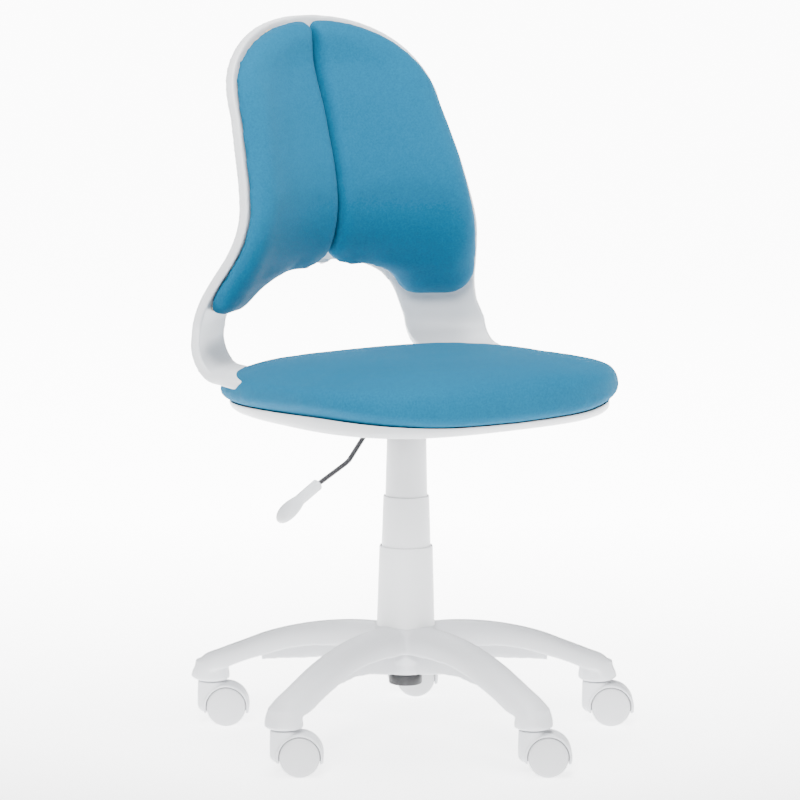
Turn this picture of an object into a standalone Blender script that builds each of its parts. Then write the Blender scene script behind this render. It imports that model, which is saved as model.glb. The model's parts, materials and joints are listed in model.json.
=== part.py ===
"""A child's desk swivel chair: gas-lift column on a five-arm caster base, padded seat, split padded back."""

import math

import bmesh
import bpy
from mathutils import Vector

# Overall sizes, in metres. The chair faces -Y and the column stands on +Z.
# Heights are measured from a datum plane a little under the floor; floor_z is where the floor lies.
floor_z = 0.0085
seat_half_width = 0.222
seat_half_depth = 0.205
seat_centre_y = -0.025
seat_corner_power = 3.0
seat_seam_z = 0.4240
seam_side_rise = 0.0170
cushion_height = 0.0550
cushion_tilt = 0.055
back_top_z = 0.871
base_stem_radius = 0.248

# Base and hub
arm_count = 5
arm_half_width = 0.0228
arm_root_widening = 0.004
arm_wall = 0.0034
arm_tip_radius = 0.0255
arm_boss_radius = 0.0225
arm_boss_bottom_z = 0.0645
arm_tip_z = 0.099
rib_thickness = 0.0045
hub_top_z = 0.1505
hub_bottom_z = 0.0890
hub_top_radius = 0.0375
hub_foot_radius = 0.0235

# Column and gas lift
tube_radius = 0.0210
tube_foot_radius = 0.0190
tube_wall = 0.0016
tube_top_z = 0.268
sleeve_length = 0.085
cylinder_radius = 0.0140
cylinder_neck_radius = 0.0126
rod_radius = 0.0050
lift_stroke = 0.110
button_radius = 0.0040
button_travel = 0.0040

# Telescopic covers
cover_wall = 0.0016
lower_cover_radii = (0.0348, 0.0322)
lower_cover_top_z = 0.2460
middle_cover_radii = (0.0302, 0.0277)
middle_cover_top_z = 0.3070
upper_cover_radii = (0.0258, 0.0236)
cover_overlap = 0.028

# Seat plate, shell and board
plate_top_z = 0.4090
plate_half_sides = (0.075, 0.062)
box_half_sides = (0.050, 0.036)
box_height = 0.0215
socket_drop = 0.0070
socket_wall = 0.0042
sheet_wall = 0.0025
shell_bottom_z = 0.4095
shell_scale = 0.945
shell_wall = 0.0030
board_scale = 0.885
board_thickness = 0.0100
bolt_spacing = (0.058, 0.046)
bolt_radius = 0.0030

# Lever
lever_wire_radius = 0.0030
lever_wire_z = 0.4005
lever_grip_radius = 0.0075
lever_paddle_half_width = 0.0115

# Back frame
back_thickness = 0.0112
back_wrap = 2.1
back_shoulder_z = 0.760
back_shoulder_half_width = 0.1552
back_shoulder_power = 2.2
arch_top_z = 0.5745
arch_foot_z = 0.465
leg_width = 0.0800
foot_entry_z = 0.4550
arch_power = 2.6
back_screw_radius = 0.0022

# Back pads
pad_thickness = 0.0270
pad_board_thickness = 0.0030
pad_edge = 0.0012
pad_top_edge = 0.0055
pad_hem_height = 0.0040
pad_soft_edge = 0.029
pad_split_steepness = 2.2
pad_lobe_drop = 0.0465
pad_split_gap = 0.0012
pad_arch_gap = 0.0135
pad_gap = 0.0022
# Corner rounding of a pad, as (how far along the edge it starts, how far it draws the edge in).
pad_notch_round = (0.014, 0.011)
pad_split_round = (0.012, 0.012)
pad_arch_round = (0.018, 0.020)
pad_lobe_round = (0.034, 0.030)
pad_dome_power = 2.3

# Casters
wheel_radius = 0.0240
wheel_width = 0.0160
caster_trail = 0.0180
caster_web = 0.0042
hood_thickness = 0.0034
hood_width = 0.0370
hood_lip_above_floor = 0.0165
neck_radius = 0.0174
neck_top_z = 0.0630
stem_radius = 0.0052
stem_length_above = 0.0210
stem_length_below = 0.0075
axle_radius = 0.0028
trail_headings = (-37.0, -37.0, -37.0, -37.0, -37.0)

# Clearances
touch_gap = 0.0003
running_gap = 0.0004
slide_gap = 0.0006
pocket_gap = 0.0012

# Facets round a turned piece
fine_sides = 20
wheel_sides = 20
small_sides = 12
ball_count = 7
ball_radius = 0.0018

parts = bpy.data.collections.new("swivel_chair")
cutters = bpy.data.collections.new("swivel_chair_cutters")


def clear_scene():
    for old in list(bpy.data.objects):
        bpy.data.objects.remove(old, do_unlink=True)
    bpy.context.scene.collection.children.link(parts)
    bpy.context.scene.collection.children.link(cutters)
    origin = bpy.data.objects.new("chair_origin", None)
    bpy.context.scene.collection.objects.link(origin)
    return origin


# Materials


def material(name, color, roughness, metallic=0.0):
    made = bpy.data.materials.get(name)
    if made:
        return made
    made = bpy.data.materials.new(name)
    made.use_nodes = True
    shader = made.node_tree.nodes["Principled BSDF"]
    shader.inputs["Base Color"].default_value = (*color, 1.0)
    shader.inputs["Roughness"].default_value = roughness
    shader.inputs["Metallic"].default_value = metallic
    return made


def white_plastic():
    return material("white_plastic", (0.72, 0.73, 0.74), 0.45)


def black_plastic():
    return material("black_plastic", (0.03, 0.03, 0.035), 0.5)


def blue_fabric():
    return material("blue_fabric", (0.06, 0.33, 0.52), 0.9)


def steel():
    return material("steel", (0.55, 0.55, 0.56), 0.3, 1.0)


def black_steel():
    return material("black_steel", (0.03, 0.03, 0.03), 0.4, 0.6)


def rubber():
    return material("rubber", (0.02, 0.02, 0.02), 0.8)


def plywood():
    return material("plywood", (0.55, 0.38, 0.22), 0.7)


# Building blocks


def place(obj, collection, look=None, parent=None):
    collection.objects.link(obj)
    obj.parent = parent or origin
    if look:
        obj.data.materials.append(look)
    if collection is cutters:
        obj.hide_render = True
        obj.display_type = "WIRE"
    return obj


def mesh_object(name, vertices, faces, edges=()):
    mesh = bpy.data.meshes.new(name)
    mesh.from_pydata(vertices, edges, faces)
    mesh.update()
    return bpy.data.objects.new(name, mesh)


def smooth_shading(obj, angle=40.0):
    obj.data.shade_smooth()
    obj.data.set_sharp_from_angle(angle=math.radians(angle))


def turned(name, profile, sides, closed=False, collection=parts, look=None, parent=None):
    """A profile of (radius, height) pairs, outer side down, swept round Z. A closed profile has a bore."""
    points = [(radius, 0.0, height) for radius, height in profile]
    edges = [(i, i + 1) for i in range(len(points) - 1)]
    if closed:
        edges.append((len(points) - 1, 0))
    obj = mesh_object(name, points, (), edges)
    screw = obj.modifiers.new("turn", "SCREW")
    screw.axis = "Z"
    screw.angle = math.tau
    screw.steps = sides
    screw.render_steps = sides
    screw.use_merge_vertices = True
    screw.merge_threshold = 0.00001
    screw.use_smooth_shade = False
    return place(obj, collection, look, parent)


def ring(name, outer, inner, low, high, sides=fine_sides, look=None, parent=None):
    return turned(
        name, [(outer, high), (outer, low), (inner, low), (inner, high)], sides, True, parts, look, parent
    )


def rod_between(name, radius, low, high, sides=small_sides, collection=cutters, look=None, parent=None):
    profile = [(0, high), (radius, high), (radius, low), (0, low)]
    return turned(name, profile, sides, False, collection, look, parent)


def box(name, low, high, collection=cutters, look=None, parent=None):
    centre = [(a + b) / 2 for a, b in zip(low, high)]
    shape = bmesh.new()
    bmesh.ops.create_cube(shape, size=1.0)
    for vertex in shape.verts:
        vertex.co = Vector([c + v * (b - a) for c, v, a, b in zip(centre, vertex.co, low, high)])
    mesh = bpy.data.meshes.new(name)
    shape.to_mesh(mesh)
    shape.free()
    return place(bpy.data.objects.new(name, mesh), collection, look, parent)


def loft(name, rings, collection=parts, look=None, parent=None):
    """Rings of equal point counts joined into one closed skin, with a face over each end."""
    count = len(rings[0])
    vertices = [point for loop in rings for point in loop]
    faces = []
    for row in range(len(rings) - 1):
        for i in range(count):
            j = (i + 1) % count
            a = row * count
            b = a + count
            faces.append((a + i, a + j, b + j, b + i))
    faces.append(tuple(reversed(range(count))))
    faces.append(tuple(range(len(vertices) - count, len(vertices))))
    obj = mesh_object(name, vertices, faces)
    outward_faces(obj.data)
    smooth_shading(obj)
    return place(obj, collection, look, parent)


def outward_faces(mesh):
    shape = bmesh.new()
    shape.from_mesh(mesh)
    bmesh.ops.recalc_face_normals(shape, faces=shape.faces)
    shape.to_mesh(mesh)
    shape.free()


def boolean(obj, other, operation="DIFFERENCE", solver="EXACT"):
    step = obj.modifiers.new(operation.lower(), "BOOLEAN")
    step.operation = operation
    step.solver = solver
    step.object = other
    return obj


def bevel(obj, width, segments=1, angle=40.0):
    step = obj.modifiers.new("bevel", "BEVEL")
    step.width = width
    step.segments = segments
    step.limit_method = "ANGLE"
    step.angle_limit = math.radians(angle)
    return obj


def eased(points, at):
    """The smooth curve through (x, value) pairs in rising x, read at one x."""
    if at <= points[0][0]:
        return points[0][1]
    if at >= points[-1][0]:
        return points[-1][1]
    last = len(points) - 1
    i = max(k for k in range(last) if points[k][0] <= at)
    (x0, y0), (x1, y1) = points[i], points[i + 1]
    before = points[max(i - 1, 0)]
    after = points[min(i + 2, last)]
    start_slope = (y1 - before[1]) / (x1 - before[0])
    end_slope = (after[1] - y0) / (after[0] - x0)
    span = x1 - x0
    t = (at - x0) / span
    return (
        (2 * t**3 - 3 * t**2 + 1) * y0
        + (t**3 - 2 * t**2 + t) * span * start_slope
        + (3 * t**2 - 2 * t**3) * y1
        + (t**3 - t**2) * span * end_slope
    )


def superellipse(half_x, half_y, power, count):
    points = []
    for i in range(count):
        angle = math.tau * i / count
        c, s = math.cos(angle), math.sin(angle)
        x = math.copysign(half_x * abs(c) ** (2 / power), c)
        y = math.copysign(half_y * abs(s) ** (2 / power), s)
        points.append((x, y))
    return points


# Star base


def arm_top_z(radius):
    """Height of an arm's ridge, from the hub out to the stem."""
    share = eased(
        [
            (0.12, 0.99),
            (0.24, 1.0),
            (0.36, 0.957),
            (0.48, 0.872),
            (0.60, 0.745),
            (0.72, 0.57),
            (0.83, 0.35),
            (0.94, 0.13),
            (1.0, 0.0),
        ],
        radius / base_stem_radius,
    )
    return arm_tip_z + (hub_top_z - arm_tip_z) * share


def arm_skirt_z(radius):
    share = eased(
        [
            (0.10, 0.61),
            (0.34, 0.64),
            (0.45, 0.634),
            (0.52, 0.60),
            (0.60, 0.547),
            (0.68, 0.467),
            (0.77, 0.378),
            (0.84, 0.30),
            (0.90, 0.22),
            (1.0, 0.16),
        ],
        radius / base_stem_radius,
    )
    return arm_boss_bottom_z + (hub_top_z - arm_boss_bottom_z) * share


def arm_width(radius):
    share = radius / base_stem_radius
    return arm_half_width + arm_root_widening * max(0.0, 1 - share * 1.8)


def arch_points(half_width, low, high, count=7, power=2.6):
    """An upright arch from -half_width to +half_width, as (across, up) pairs."""
    made = []
    for i in range(count):
        angle = math.pi * (1 - i / (count - 1))
        c, s = math.cos(angle), math.sin(angle)
        across = math.copysign(half_width * abs(c) ** (2 / power), c)
        made.append((across, low + (high - low) * abs(s) ** (2 / power)))
    return made


def arm_solid(index):
    """An arm's outer shape, from inside the hub out to its rounded end over the stem."""
    rings = []
    for share in (0.1, 0.27, 0.44, 0.6, 0.76, 0.88, 0.97):
        radius = base_stem_radius * share
        section = arch_points(arm_width(radius), arm_skirt_z(radius), arm_top_z(radius))
        rings.append([(radius, y, z) for y, z in section])
    low = arm_boss_bottom_z + 0.003
    for share in (0.35, 0.75, 0.97):
        width = arm_width(base_stem_radius) * math.sqrt(1 - share**2)
        high = low + (arm_tip_z - low) * (1 - share**1.8) ** 0.8
        radius = base_stem_radius + arm_tip_radius * share
        rings.append([(radius, y, z) for y, z in arch_points(max(width, 0.002), low, max(high, low + 0.002))])
    return loft(f"arm_solid_{index}", rings, cutters)


def arm_cavity(index):
    """The open channel under an arm, between its skirts."""
    rings = []
    start = hub_foot_radius + 0.004
    end = base_stem_radius - arm_boss_radius + 0.002
    for step in range(5):
        radius = start + (end - start) * step / 4
        half_width = arm_width(radius) - arm_wall
        arch = arch_points(half_width, arm_skirt_z(radius) - 0.001, arm_top_z(radius) - arm_wall)
        reach = arm_width(radius) - arm_wall
        floor = arm_boss_bottom_z - 0.02
        rings.append([(radius, y, z) for y, z in [(-reach, floor), *arch, (reach, floor)]])
    return loft(f"arm_cavity_{index}", rings, cutters)


def arm_boss(index):
    rim = arm_boss_radius
    profile = [
        (0, arm_tip_z - 0.008),
        (rim - 0.003, arm_tip_z - 0.010),
        (rim, arm_boss_bottom_z + 0.005),
        (rim - 0.004, arm_boss_bottom_z),
        (0, arm_boss_bottom_z),
    ]
    boss = turned(f"arm_boss_{index}", profile, wheel_sides, collection=cutters)
    boss.location.x = base_stem_radius
    return boss


def arm_rib(index):
    """The upright stiffening web under an arm's centre line."""
    foot = [(0.08, 0.30), (0.15, 0.32), (0.31, 0.405), (0.43, 0.424), (0.53, 0.39), (0.64, 0.365), (0.74, 0.33)]
    lower = [(base_stem_radius * s, arm_boss_bottom_z + (hub_top_z - arm_boss_bottom_z) * z) for s, z in foot]
    upper = [(radius, arm_top_z(radius) - arm_wall / 2) for radius, _ in reversed(lower)]
    rings = [[(x, side * rib_thickness / 2, z) for x, z in lower + upper] for side in (-1, 1)]
    return loft(f"arm_rib_{index}", rings, cutters)


def hub_bore_radius(z):
    share = (z - hub_bottom_z) / (hub_top_z - hub_bottom_z)
    return tube_foot_radius + (tube_radius - tube_foot_radius) * share + touch_gap


def star_base():
    profile = [
        (0, hub_top_z),
        (hub_top_radius - 0.002, hub_top_z),
        (hub_top_radius, hub_top_z - 0.0015),
        (hub_top_radius + 0.001, hub_top_z - 0.022),
        (hub_top_radius - 0.006, hub_top_z - 0.038),
        (hub_foot_radius, hub_bottom_z + 0.012),
        (hub_foot_radius - 0.001, hub_bottom_z),
        (0, hub_bottom_z),
    ]
    base = turned("star_base", profile, fine_sides, collection=parts, look=white_plastic())
    turns = []
    for index in range(arm_count):
        turn = bpy.data.objects.new(f"arm_turn_{index}", None)
        cutters.objects.link(turn)
        turn.parent = origin
        turn.rotation_euler.z = arm_angle(index)
        turns.append(turn)
    steps = ((arm_solid, "UNION"), (arm_boss, "UNION"), (arm_cavity, "DIFFERENCE"), (arm_rib, "UNION"))
    for shape, operation in steps:
        for index, turn in enumerate(turns):
            piece = shape(index)
            piece.parent = turn
            boolean(base, piece, operation, "MANIFOLD")
    bore = [
        (0, hub_top_z + 0.01),
        (hub_bore_radius(hub_top_z), hub_top_z + 0.01),
        (hub_bore_radius(hub_top_z), hub_top_z),
        (hub_bore_radius(hub_bottom_z), hub_bottom_z),
        (hub_bore_radius(hub_bottom_z), hub_bottom_z - 0.03),
        (0, hub_bottom_z - 0.03),
    ]
    boolean(base, turned("column_bore", bore, fine_sides, collection=cutters), solver="MANIFOLD")
    for index in range(arm_count):
        top = stem_top_z() + slide_gap
        hole = rod_between(f"stem_hole_{index}", stem_hole_radius(), 0.03, top, small_sides)
        hole.location = stem_place(index)
        boolean(base, hole, solver="MANIFOLD")
    return base


def arm_angle(index):
    """Arm 1 points to the front, along -Y; the others follow anticlockwise from above."""
    return -math.pi / 2 + math.tau * index / arm_count


def stem_place(index):
    angle = arm_angle(index)
    return Vector((base_stem_radius * math.cos(angle), base_stem_radius * math.sin(angle), 0))


def stem_hole_radius():
    return stem_radius + running_gap


def stem_top_z():
    return arm_boss_bottom_z + stem_length_above


# Casters


def axle_z():
    return floor_z + wheel_radius


def baked(obj):
    """The evaluated mesh of an object, which its copies share."""
    bpy.context.view_layer.update()
    graph = bpy.context.evaluated_depsgraph_get()
    mesh = bpy.data.meshes.new_from_object(obj.evaluated_get(graph))
    mesh.transform(obj.matrix_world)
    return mesh


def across(obj, x, z):
    """Turns a piece made along Z to lie along Y, at (x, z)."""
    obj.rotation_euler.x = -math.pi / 2
    obj.location = (x, 0, z)
    return obj


def hood_mesh():
    pocket = wheel_radius / math.cos(math.pi / wheel_sides) + slide_gap + touch_gap
    outer = pocket + hood_thickness
    half = hood_width / 2
    hood = across(rod_between("hood_blank", outer, -half, half, wheel_sides), caster_trail, axle_z())
    neck = rod_between("neck_blank", neck_radius, floor_z + 0.006, neck_top_z, wheel_sides)
    boolean(hood, neck, "UNION", "MANIFOLD")
    for side in (-1, 1):
        low, high = sorted((side * caster_web / 2, side * (half + 0.01)))
        cut = across(rod_between(f"pocket_{side}", pocket, low, high, wheel_sides), caster_trail, axle_z())
        boolean(hood, cut, solver="MANIFOLD")
    lip = box("hood_lip", (-0.1, -0.1, -0.1), (0.1, 0.1, floor_z + hood_lip_above_floor))
    boolean(hood, lip, solver="MANIFOLD")
    stem_low = neck_top_z - stem_length_below - touch_gap
    socket = rod_between("stem_socket", stem_hole_radius(), stem_low, 0.1, small_sides)
    boolean(hood, socket, solver="MANIFOLD")
    axle_hole = rod_between("axle_hole", axle_radius + running_gap, -0.05, 0.05)
    boolean(hood, across(axle_hole, caster_trail, axle_z()), solver="MANIFOLD")
    return baked(hood)


def wheel_mesh():
    rim = wheel_radius / math.cos(math.pi / wheel_sides)
    bore = axle_radius + running_gap
    depth = wheel_width - 0.004
    profile = [
        (0, wheel_width),
        (rim - 0.002, wheel_width),
        (rim, wheel_width - 0.0025),
        (rim, 0),
        (bore, 0),
        (bore, depth),
        (0, depth),
    ]
    phase = math.pi / wheel_sides
    wheel = turned("wheel_blank", profile, wheel_sides, collection=cutters)
    for vertex in wheel.data.vertices:
        radius = vertex.co.x
        vertex.co.x = radius * math.cos(phase)
        vertex.co.y = radius * math.sin(phase)
    return baked(wheel)


def stem_mesh():
    low = neck_top_z - stem_length_below
    collar = stem_radius + 0.0026
    profile = [
        (0, stem_top_z()),
        (stem_radius - 0.001, stem_top_z()),
        (stem_radius, stem_top_z() - 0.0015),
        (stem_radius, arm_boss_bottom_z - touch_gap),
        (collar, arm_boss_bottom_z - touch_gap),
        (collar, neck_top_z + touch_gap),
        (stem_radius, neck_top_z + touch_gap),
        (stem_radius, low),
        (0, low),
    ]
    return baked(turned("stem_blank", profile, small_sides, collection=cutters))


def axle_mesh():
    half = caster_web / 2 + wheel_width - 0.006
    return baked(rod_between("axle_blank", axle_radius, -half, half, small_sides))


def casters():
    hood, wheel, stem, axle = hood_mesh(), wheel_mesh(), stem_mesh(), axle_mesh()
    for index in range(arm_count):
        number = index + 1
        turn = bpy.data.objects.new(f"caster_{number}", None)
        cutters.objects.link(turn)
        turn.parent = origin
        turn.location = stem_place(index)
        turn.rotation_euler.z = math.radians(trail_headings[index])
        place(bpy.data.objects.new(f"caster_hood_{number}", hood), parts, white_plastic_once(hood), turn)
        place(bpy.data.objects.new(f"caster_stem_{number}", stem), parts, steel_once(stem), turn)
        pin = place(bpy.data.objects.new(f"caster_axle_{number}", axle), parts, steel_once(axle), turn)
        across(pin, caster_trail, axle_z())
        for letter, side in (("a", 1), ("b", -1)):
            name = f"caster_wheel_{number}_{letter}"
            roller = place(bpy.data.objects.new(name, wheel), parts, white_plastic_once(wheel), turn)
            across(roller, caster_trail, axle_z())
            roller.rotation_euler.x = -side * math.pi / 2
            roller.location.y = side * (caster_web / 2 + slide_gap)


def white_plastic_once(mesh):
    return None if mesh.materials else white_plastic()


def steel_once(mesh):
    return None if mesh.materials else steel()


# Column and gas lift


def column():
    bore = tube_radius - tube_wall
    foot_z = hub_bottom_z - 0.008
    profile = [
        (tube_radius, tube_top_z),
        (tube_radius, hub_top_z),
        (tube_foot_radius, hub_bottom_z),
        (tube_foot_radius - 0.0016, hub_bottom_z - 0.0005),
        (tube_foot_radius - 0.0016, foot_z),
        (rod_radius + slide_gap, foot_z),
        (rod_radius + slide_gap, foot_z + 0.003),
        (tube_foot_radius - 0.0036, foot_z + 0.003),
        (tube_foot_radius - 0.0024, hub_bottom_z + 0.006),
        (bore, hub_top_z),
        (bore, tube_top_z),
    ]
    turned("column_tube", profile, fine_sides, True, parts, black_steel())
    sleeve = bore - touch_gap
    sleeve_bore = cylinder_radius + running_gap
    sleeve_low = tube_top_z - sleeve_length
    ring("guide_sleeve", sleeve, sleeve_bore, sleeve_low, tube_top_z - 0.001, fine_sides, black_plastic())

    shelf = foot_z + 0.003
    race = 0.0120
    hole = rod_radius + running_gap
    ring("bearing_race_lower", race, hole, shelf + touch_gap, shelf + 0.0022, fine_sides, steel())
    ball_cage(shelf + 0.0022 + touch_gap + ball_radius)
    upper = shelf + 0.0022 + 2 * (touch_gap + ball_radius)
    ring("bearing_race_upper", race, hole, upper, upper + 0.0020, fine_sides, steel())
    bumper_low = upper + 0.0020 + touch_gap
    bumper_high = bumper_low + 0.010
    profile = [
        (race - 0.002, bumper_high),
        (race - 0.0005, bumper_high - 0.003),
        (race - 0.0005, bumper_low),
        (hole, bumper_low),
        (hole, bumper_high),
    ]
    turned("rubber_bumper", profile, fine_sides, True, parts, rubber())

    clip_high = foot_z - touch_gap
    clip_low = clip_high - 0.0010
    ring("retaining_clip", rod_radius + 0.0035, rod_radius + 0.0002, clip_low, clip_high, small_sides, steel())
    rod_low = clip_high - 0.0025
    cap_low = rod_low - touch_gap - 0.0020
    cap = tube_foot_radius + 0.0012
    cap_bore = tube_foot_radius - 0.0016 + touch_gap
    profile = [
        (0, cap_low + 0.0020),
        (cap_bore, cap_low + 0.0020),
        (cap_bore, hub_bottom_z - 0.0008),
        (cap, hub_bottom_z - 0.0008),
        (cap, cap_low + 0.0015),
        (cap - 0.0015, cap_low),
        (0, cap_low),
    ]
    turned("column_end_cap", profile, fine_sides, False, parts, black_plastic())
    gas_lift(rod_low, bumper_high)


def ball_cage(centre_z):
    """A flat cage ring joined to the balls that it holds."""
    cage = ring("ball_cage", 0.0105, 0.0070, centre_z - 0.0006, centre_z + 0.0006, fine_sides, steel())
    for index in range(ball_count):
        shape = bmesh.new()
        bmesh.ops.create_uvsphere(shape, u_segments=6, v_segments=4, radius=ball_radius)
        mesh = bpy.data.meshes.new(f"ball_{index}")
        shape.to_mesh(mesh)
        shape.free()
        ball = place(bpy.data.objects.new(f"ball_{index}", mesh), cutters)
        angle = math.tau * index / ball_count
        ball.location = (0.00875 * math.cos(angle), 0.00875 * math.sin(angle), centre_z)
        boolean(cage, ball, "UNION")
    return cage


def gas_lift(rod_low, bumper_high):
    """The cylinder slides on the piston; it stands fully out here and comes down by lift_stroke."""
    cylinder_low = bumper_high + touch_gap + lift_stroke
    cylinder_bore = cylinder_radius - 0.0020
    cylinder_high = lever_wire_z - lever_wire_radius - 0.0040
    head = cylinder_high - 0.0170
    profile = [
        (cylinder_neck_radius, cylinder_high),
        (cylinder_radius, cylinder_high - 0.030),
        (cylinder_radius, cylinder_low),
        (rod_radius + running_gap, cylinder_low),
        (rod_radius + running_gap, cylinder_low + 0.006),
        (cylinder_bore, cylinder_low + 0.006),
        (cylinder_bore, head - 0.006),
        (0, head - 0.004),
    ]
    pocket = button_radius + running_gap
    profile += [(0, cylinder_high - 0.0130), (pocket, cylinder_high - 0.0130), (pocket, cylinder_high)]
    turned("gas_cylinder", profile, 24, True, parts, black_steel())
    piston_low = cylinder_low + 0.006 + slide_gap
    profile = [
        (0, piston_low + 0.010),
        (cylinder_bore - running_gap, piston_low + 0.010),
        (cylinder_bore - running_gap, piston_low),
        (rod_radius, piston_low),
        (rod_radius, rod_low),
        (0, rod_low),
    ]
    turned("piston_rod", profile, 24, False, parts, steel())
    button_low = cylinder_high - 0.0130 + button_travel + touch_gap
    button_high = lever_wire_z - lever_wire_radius - slide_gap
    rod_between("release_button", button_radius, button_low, button_high, small_sides, parts, steel())


# Telescopic covers


def cover(name, radii, low, high):
    """A slightly tapered sleeve with a small inward lip at its top edge."""
    wide, narrow = radii
    profile = [
        (narrow - 0.0012, high),
        (narrow, high - 0.0012),
        (wide, low),
        (wide - cover_wall, low),
        (narrow - cover_wall, high - 0.0022),
        (narrow - cover_wall - 0.0006, high),
    ]
    return turned(name, profile, fine_sides, True, parts, white_plastic())


def covers():
    cover("lower_cover", lower_cover_radii, hub_top_z + touch_gap, lower_cover_top_z)
    cover("middle_cover", middle_cover_radii, lower_cover_top_z - cover_overlap, middle_cover_top_z)
    top = plate_top_z - box_height - sheet_wall / 2
    cover("upper_cover", upper_cover_radii, middle_cover_top_z - cover_overlap, top)


# Seat


def seam_wave(x, y):
    """How far the seam rises at a point of the outline: most just ahead of the sides."""
    turn = math.degrees(math.atan2(abs(x) / seat_half_width, -y / seat_half_depth))
    ahead = [(0, 0.0), (25, 0.16), (40, 0.50), (55, 0.86), (68, 1.0)]
    behind = [(90, 0.70), (115, 0.38), (140, 0.14), (180, 0.05)]
    return seam_side_rise * eased(ahead + behind, turn)


def seat_ring(scale, z, wave=0.0, tilt=0.0, count=28):
    """One outline of the seat, wave times the seam's rise and tilted up towards the front."""
    outline = superellipse(seat_half_width, seat_half_depth, seat_corner_power, count)
    ring = []
    for x, y in outline:
        lift = wave * seam_wave(x, y) - tilt * cushion_tilt * y * scale
        ring.append((x * scale, seat_centre_y + y * scale, z + lift))
    return ring


def board_low_z():
    return seat_seam_z + 0.0010


def board_top_z():
    return board_low_z() + board_thickness


def bolt_places():
    return [(x * bolt_spacing[0], y * bolt_spacing[1]) for x, y in ((-1, -1), (1, -1), (1, 1), (-1, 1))]


def seat_shell():
    floor = shell_bottom_z + shell_wall
    rim = shell_scale
    rings = [
        seat_ring(0.45, shell_bottom_z),
        seat_ring(rim - 0.130, shell_bottom_z + 0.0008),
        seat_ring(rim - 0.055, shell_bottom_z + 0.0032),
        seat_ring(rim - 0.016, shell_bottom_z + 0.0072),
        seat_ring(rim, shell_bottom_z + 0.0118),
        seat_ring(rim, seat_seam_z - 0.0010, 0.54),
        seat_ring(rim - 0.016, seat_seam_z - 0.0010, 0.33),
        seat_ring(rim - 0.020, shell_bottom_z + 0.0122),
        seat_ring(rim - 0.034, shell_bottom_z + 0.0096),
        seat_ring(rim - 0.068, shell_bottom_z + 0.0062),
        seat_ring(rim - 0.135, shell_bottom_z + 0.0038),
        seat_ring(0.45, floor),
    ]
    shell = loft("seat_shell", rings, parts, white_plastic())
    for index, (x, y) in enumerate(bolt_places()):
        post = rod_between(f"shell_post_{index}", 0.009, floor - 0.001, board_low_z() - touch_gap)
        post.location = (x, y, 0)
        boolean(shell, post, "UNION")
    for index, (x, y) in enumerate(bolt_places()):
        hole = rod_between(f"shell_hole_{index}", bolt_radius + running_gap, 0.35, 0.46)
        hole.location = (x, y, 0)
        boolean(shell, hole)
    return shell


def seat_board():
    rings = [seat_ring(board_scale, board_low_z()), seat_ring(board_scale, board_top_z())]
    board = loft("seat_board", rings, parts, plywood())
    for index, (x, y) in enumerate(bolt_places()):
        hole = rod_between(f"board_hole_{index}", bolt_radius + running_gap, 0.35, 0.46)
        hole.location = (x, y, 0)
        boolean(board, hole)
    for index, (x, y) in enumerate(back_screw_places()):
        hole = rod_between(f"board_screw_hole_{index}", back_screw_radius + running_gap, 0.35, 0.46)
        hole.location = (x, y, 0)
        boolean(board, hole)
    return board


def seat_cushion():
    inside = board_scale + 0.010
    under = board_top_z() + touch_gap
    sides = [(0.972, 0.0), (1.0, 0.20), (0.995, 0.42), (0.966, 0.63)]
    sides += [(0.895, 0.81), (0.75, 0.94), (0.45, 1.0)]
    rings = [seat_ring(inside, under), seat_ring(inside, seat_seam_z)]
    rings += [seat_ring(scale, seat_seam_z + cushion_height * rise, 1 - rise, rise) for scale, rise in sides]
    cushion = loft("seat_cushion", rings, parts, blue_fabric())
    boolean(cushion, foot_pocket())
    return cushion


def seat_plate():
    top = plate_top_z
    low = top - box_height
    x, y = plate_half_sides
    flange = box("seat_plate", (-x, -y, top - sheet_wall), (x, y, top), parts, black_steel())
    bx, by = box_half_sides
    boolean(flange, box("plate_box", (-bx, -by, low), (bx, by, top - sheet_wall / 2)), "UNION")
    socket_top = lever_wire_z - lever_wire_radius - 0.0040 - 0.0010
    inner_low = (-bx + sheet_wall, -by + sheet_wall, low + sheet_wall)
    boolean(flange, box("plate_hollow", inner_low, (bx - sheet_wall, by - sheet_wall, top - sheet_wall)))
    socket_low = low - socket_drop
    socket = rod_between("socket_blank", cylinder_neck_radius + socket_wall, socket_low, socket_top, 24)
    boolean(flange, socket, "UNION")
    slope = (cylinder_radius - cylinder_neck_radius) / 0.030
    neck_z = lever_wire_z - lever_wire_radius - 0.0040
    bore = [
        (0, neck_z + 0.001),
        (cylinder_neck_radius + touch_gap, neck_z + 0.001),
        (cylinder_neck_radius + slope * (neck_z - socket_low + 0.002) + touch_gap, socket_low - 0.002),
        (0, socket_low - 0.002),
    ]
    boolean(flange, turned("socket_bore", bore, 24, collection=cutters))
    slot = 0.0060
    slot_low = min(lever_wire_z - slot, low - 0.0010)
    boolean(flange, box("lever_slot", (-bx - 0.01, -slot, slot_low), (-bx + 0.01, slot, lever_wire_z + slot)))
    for index, (px, py) in enumerate(bolt_places()):
        hole = rod_between(f"plate_hole_{index}", bolt_radius + running_gap, 0.35, 0.46)
        hole.location = (px, py, 0)
        boolean(flange, hole)
    return flange


def bolt_mesh(name, shank_radius, head_radius, head_height, length, sides):
    profile = [
        (0, length),
        (shank_radius, length),
        (shank_radius, 0),
        (head_radius, 0),
        (head_radius, -head_height),
        (0, -head_height),
    ]
    return baked(turned(name, profile, sides, collection=cutters))


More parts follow.
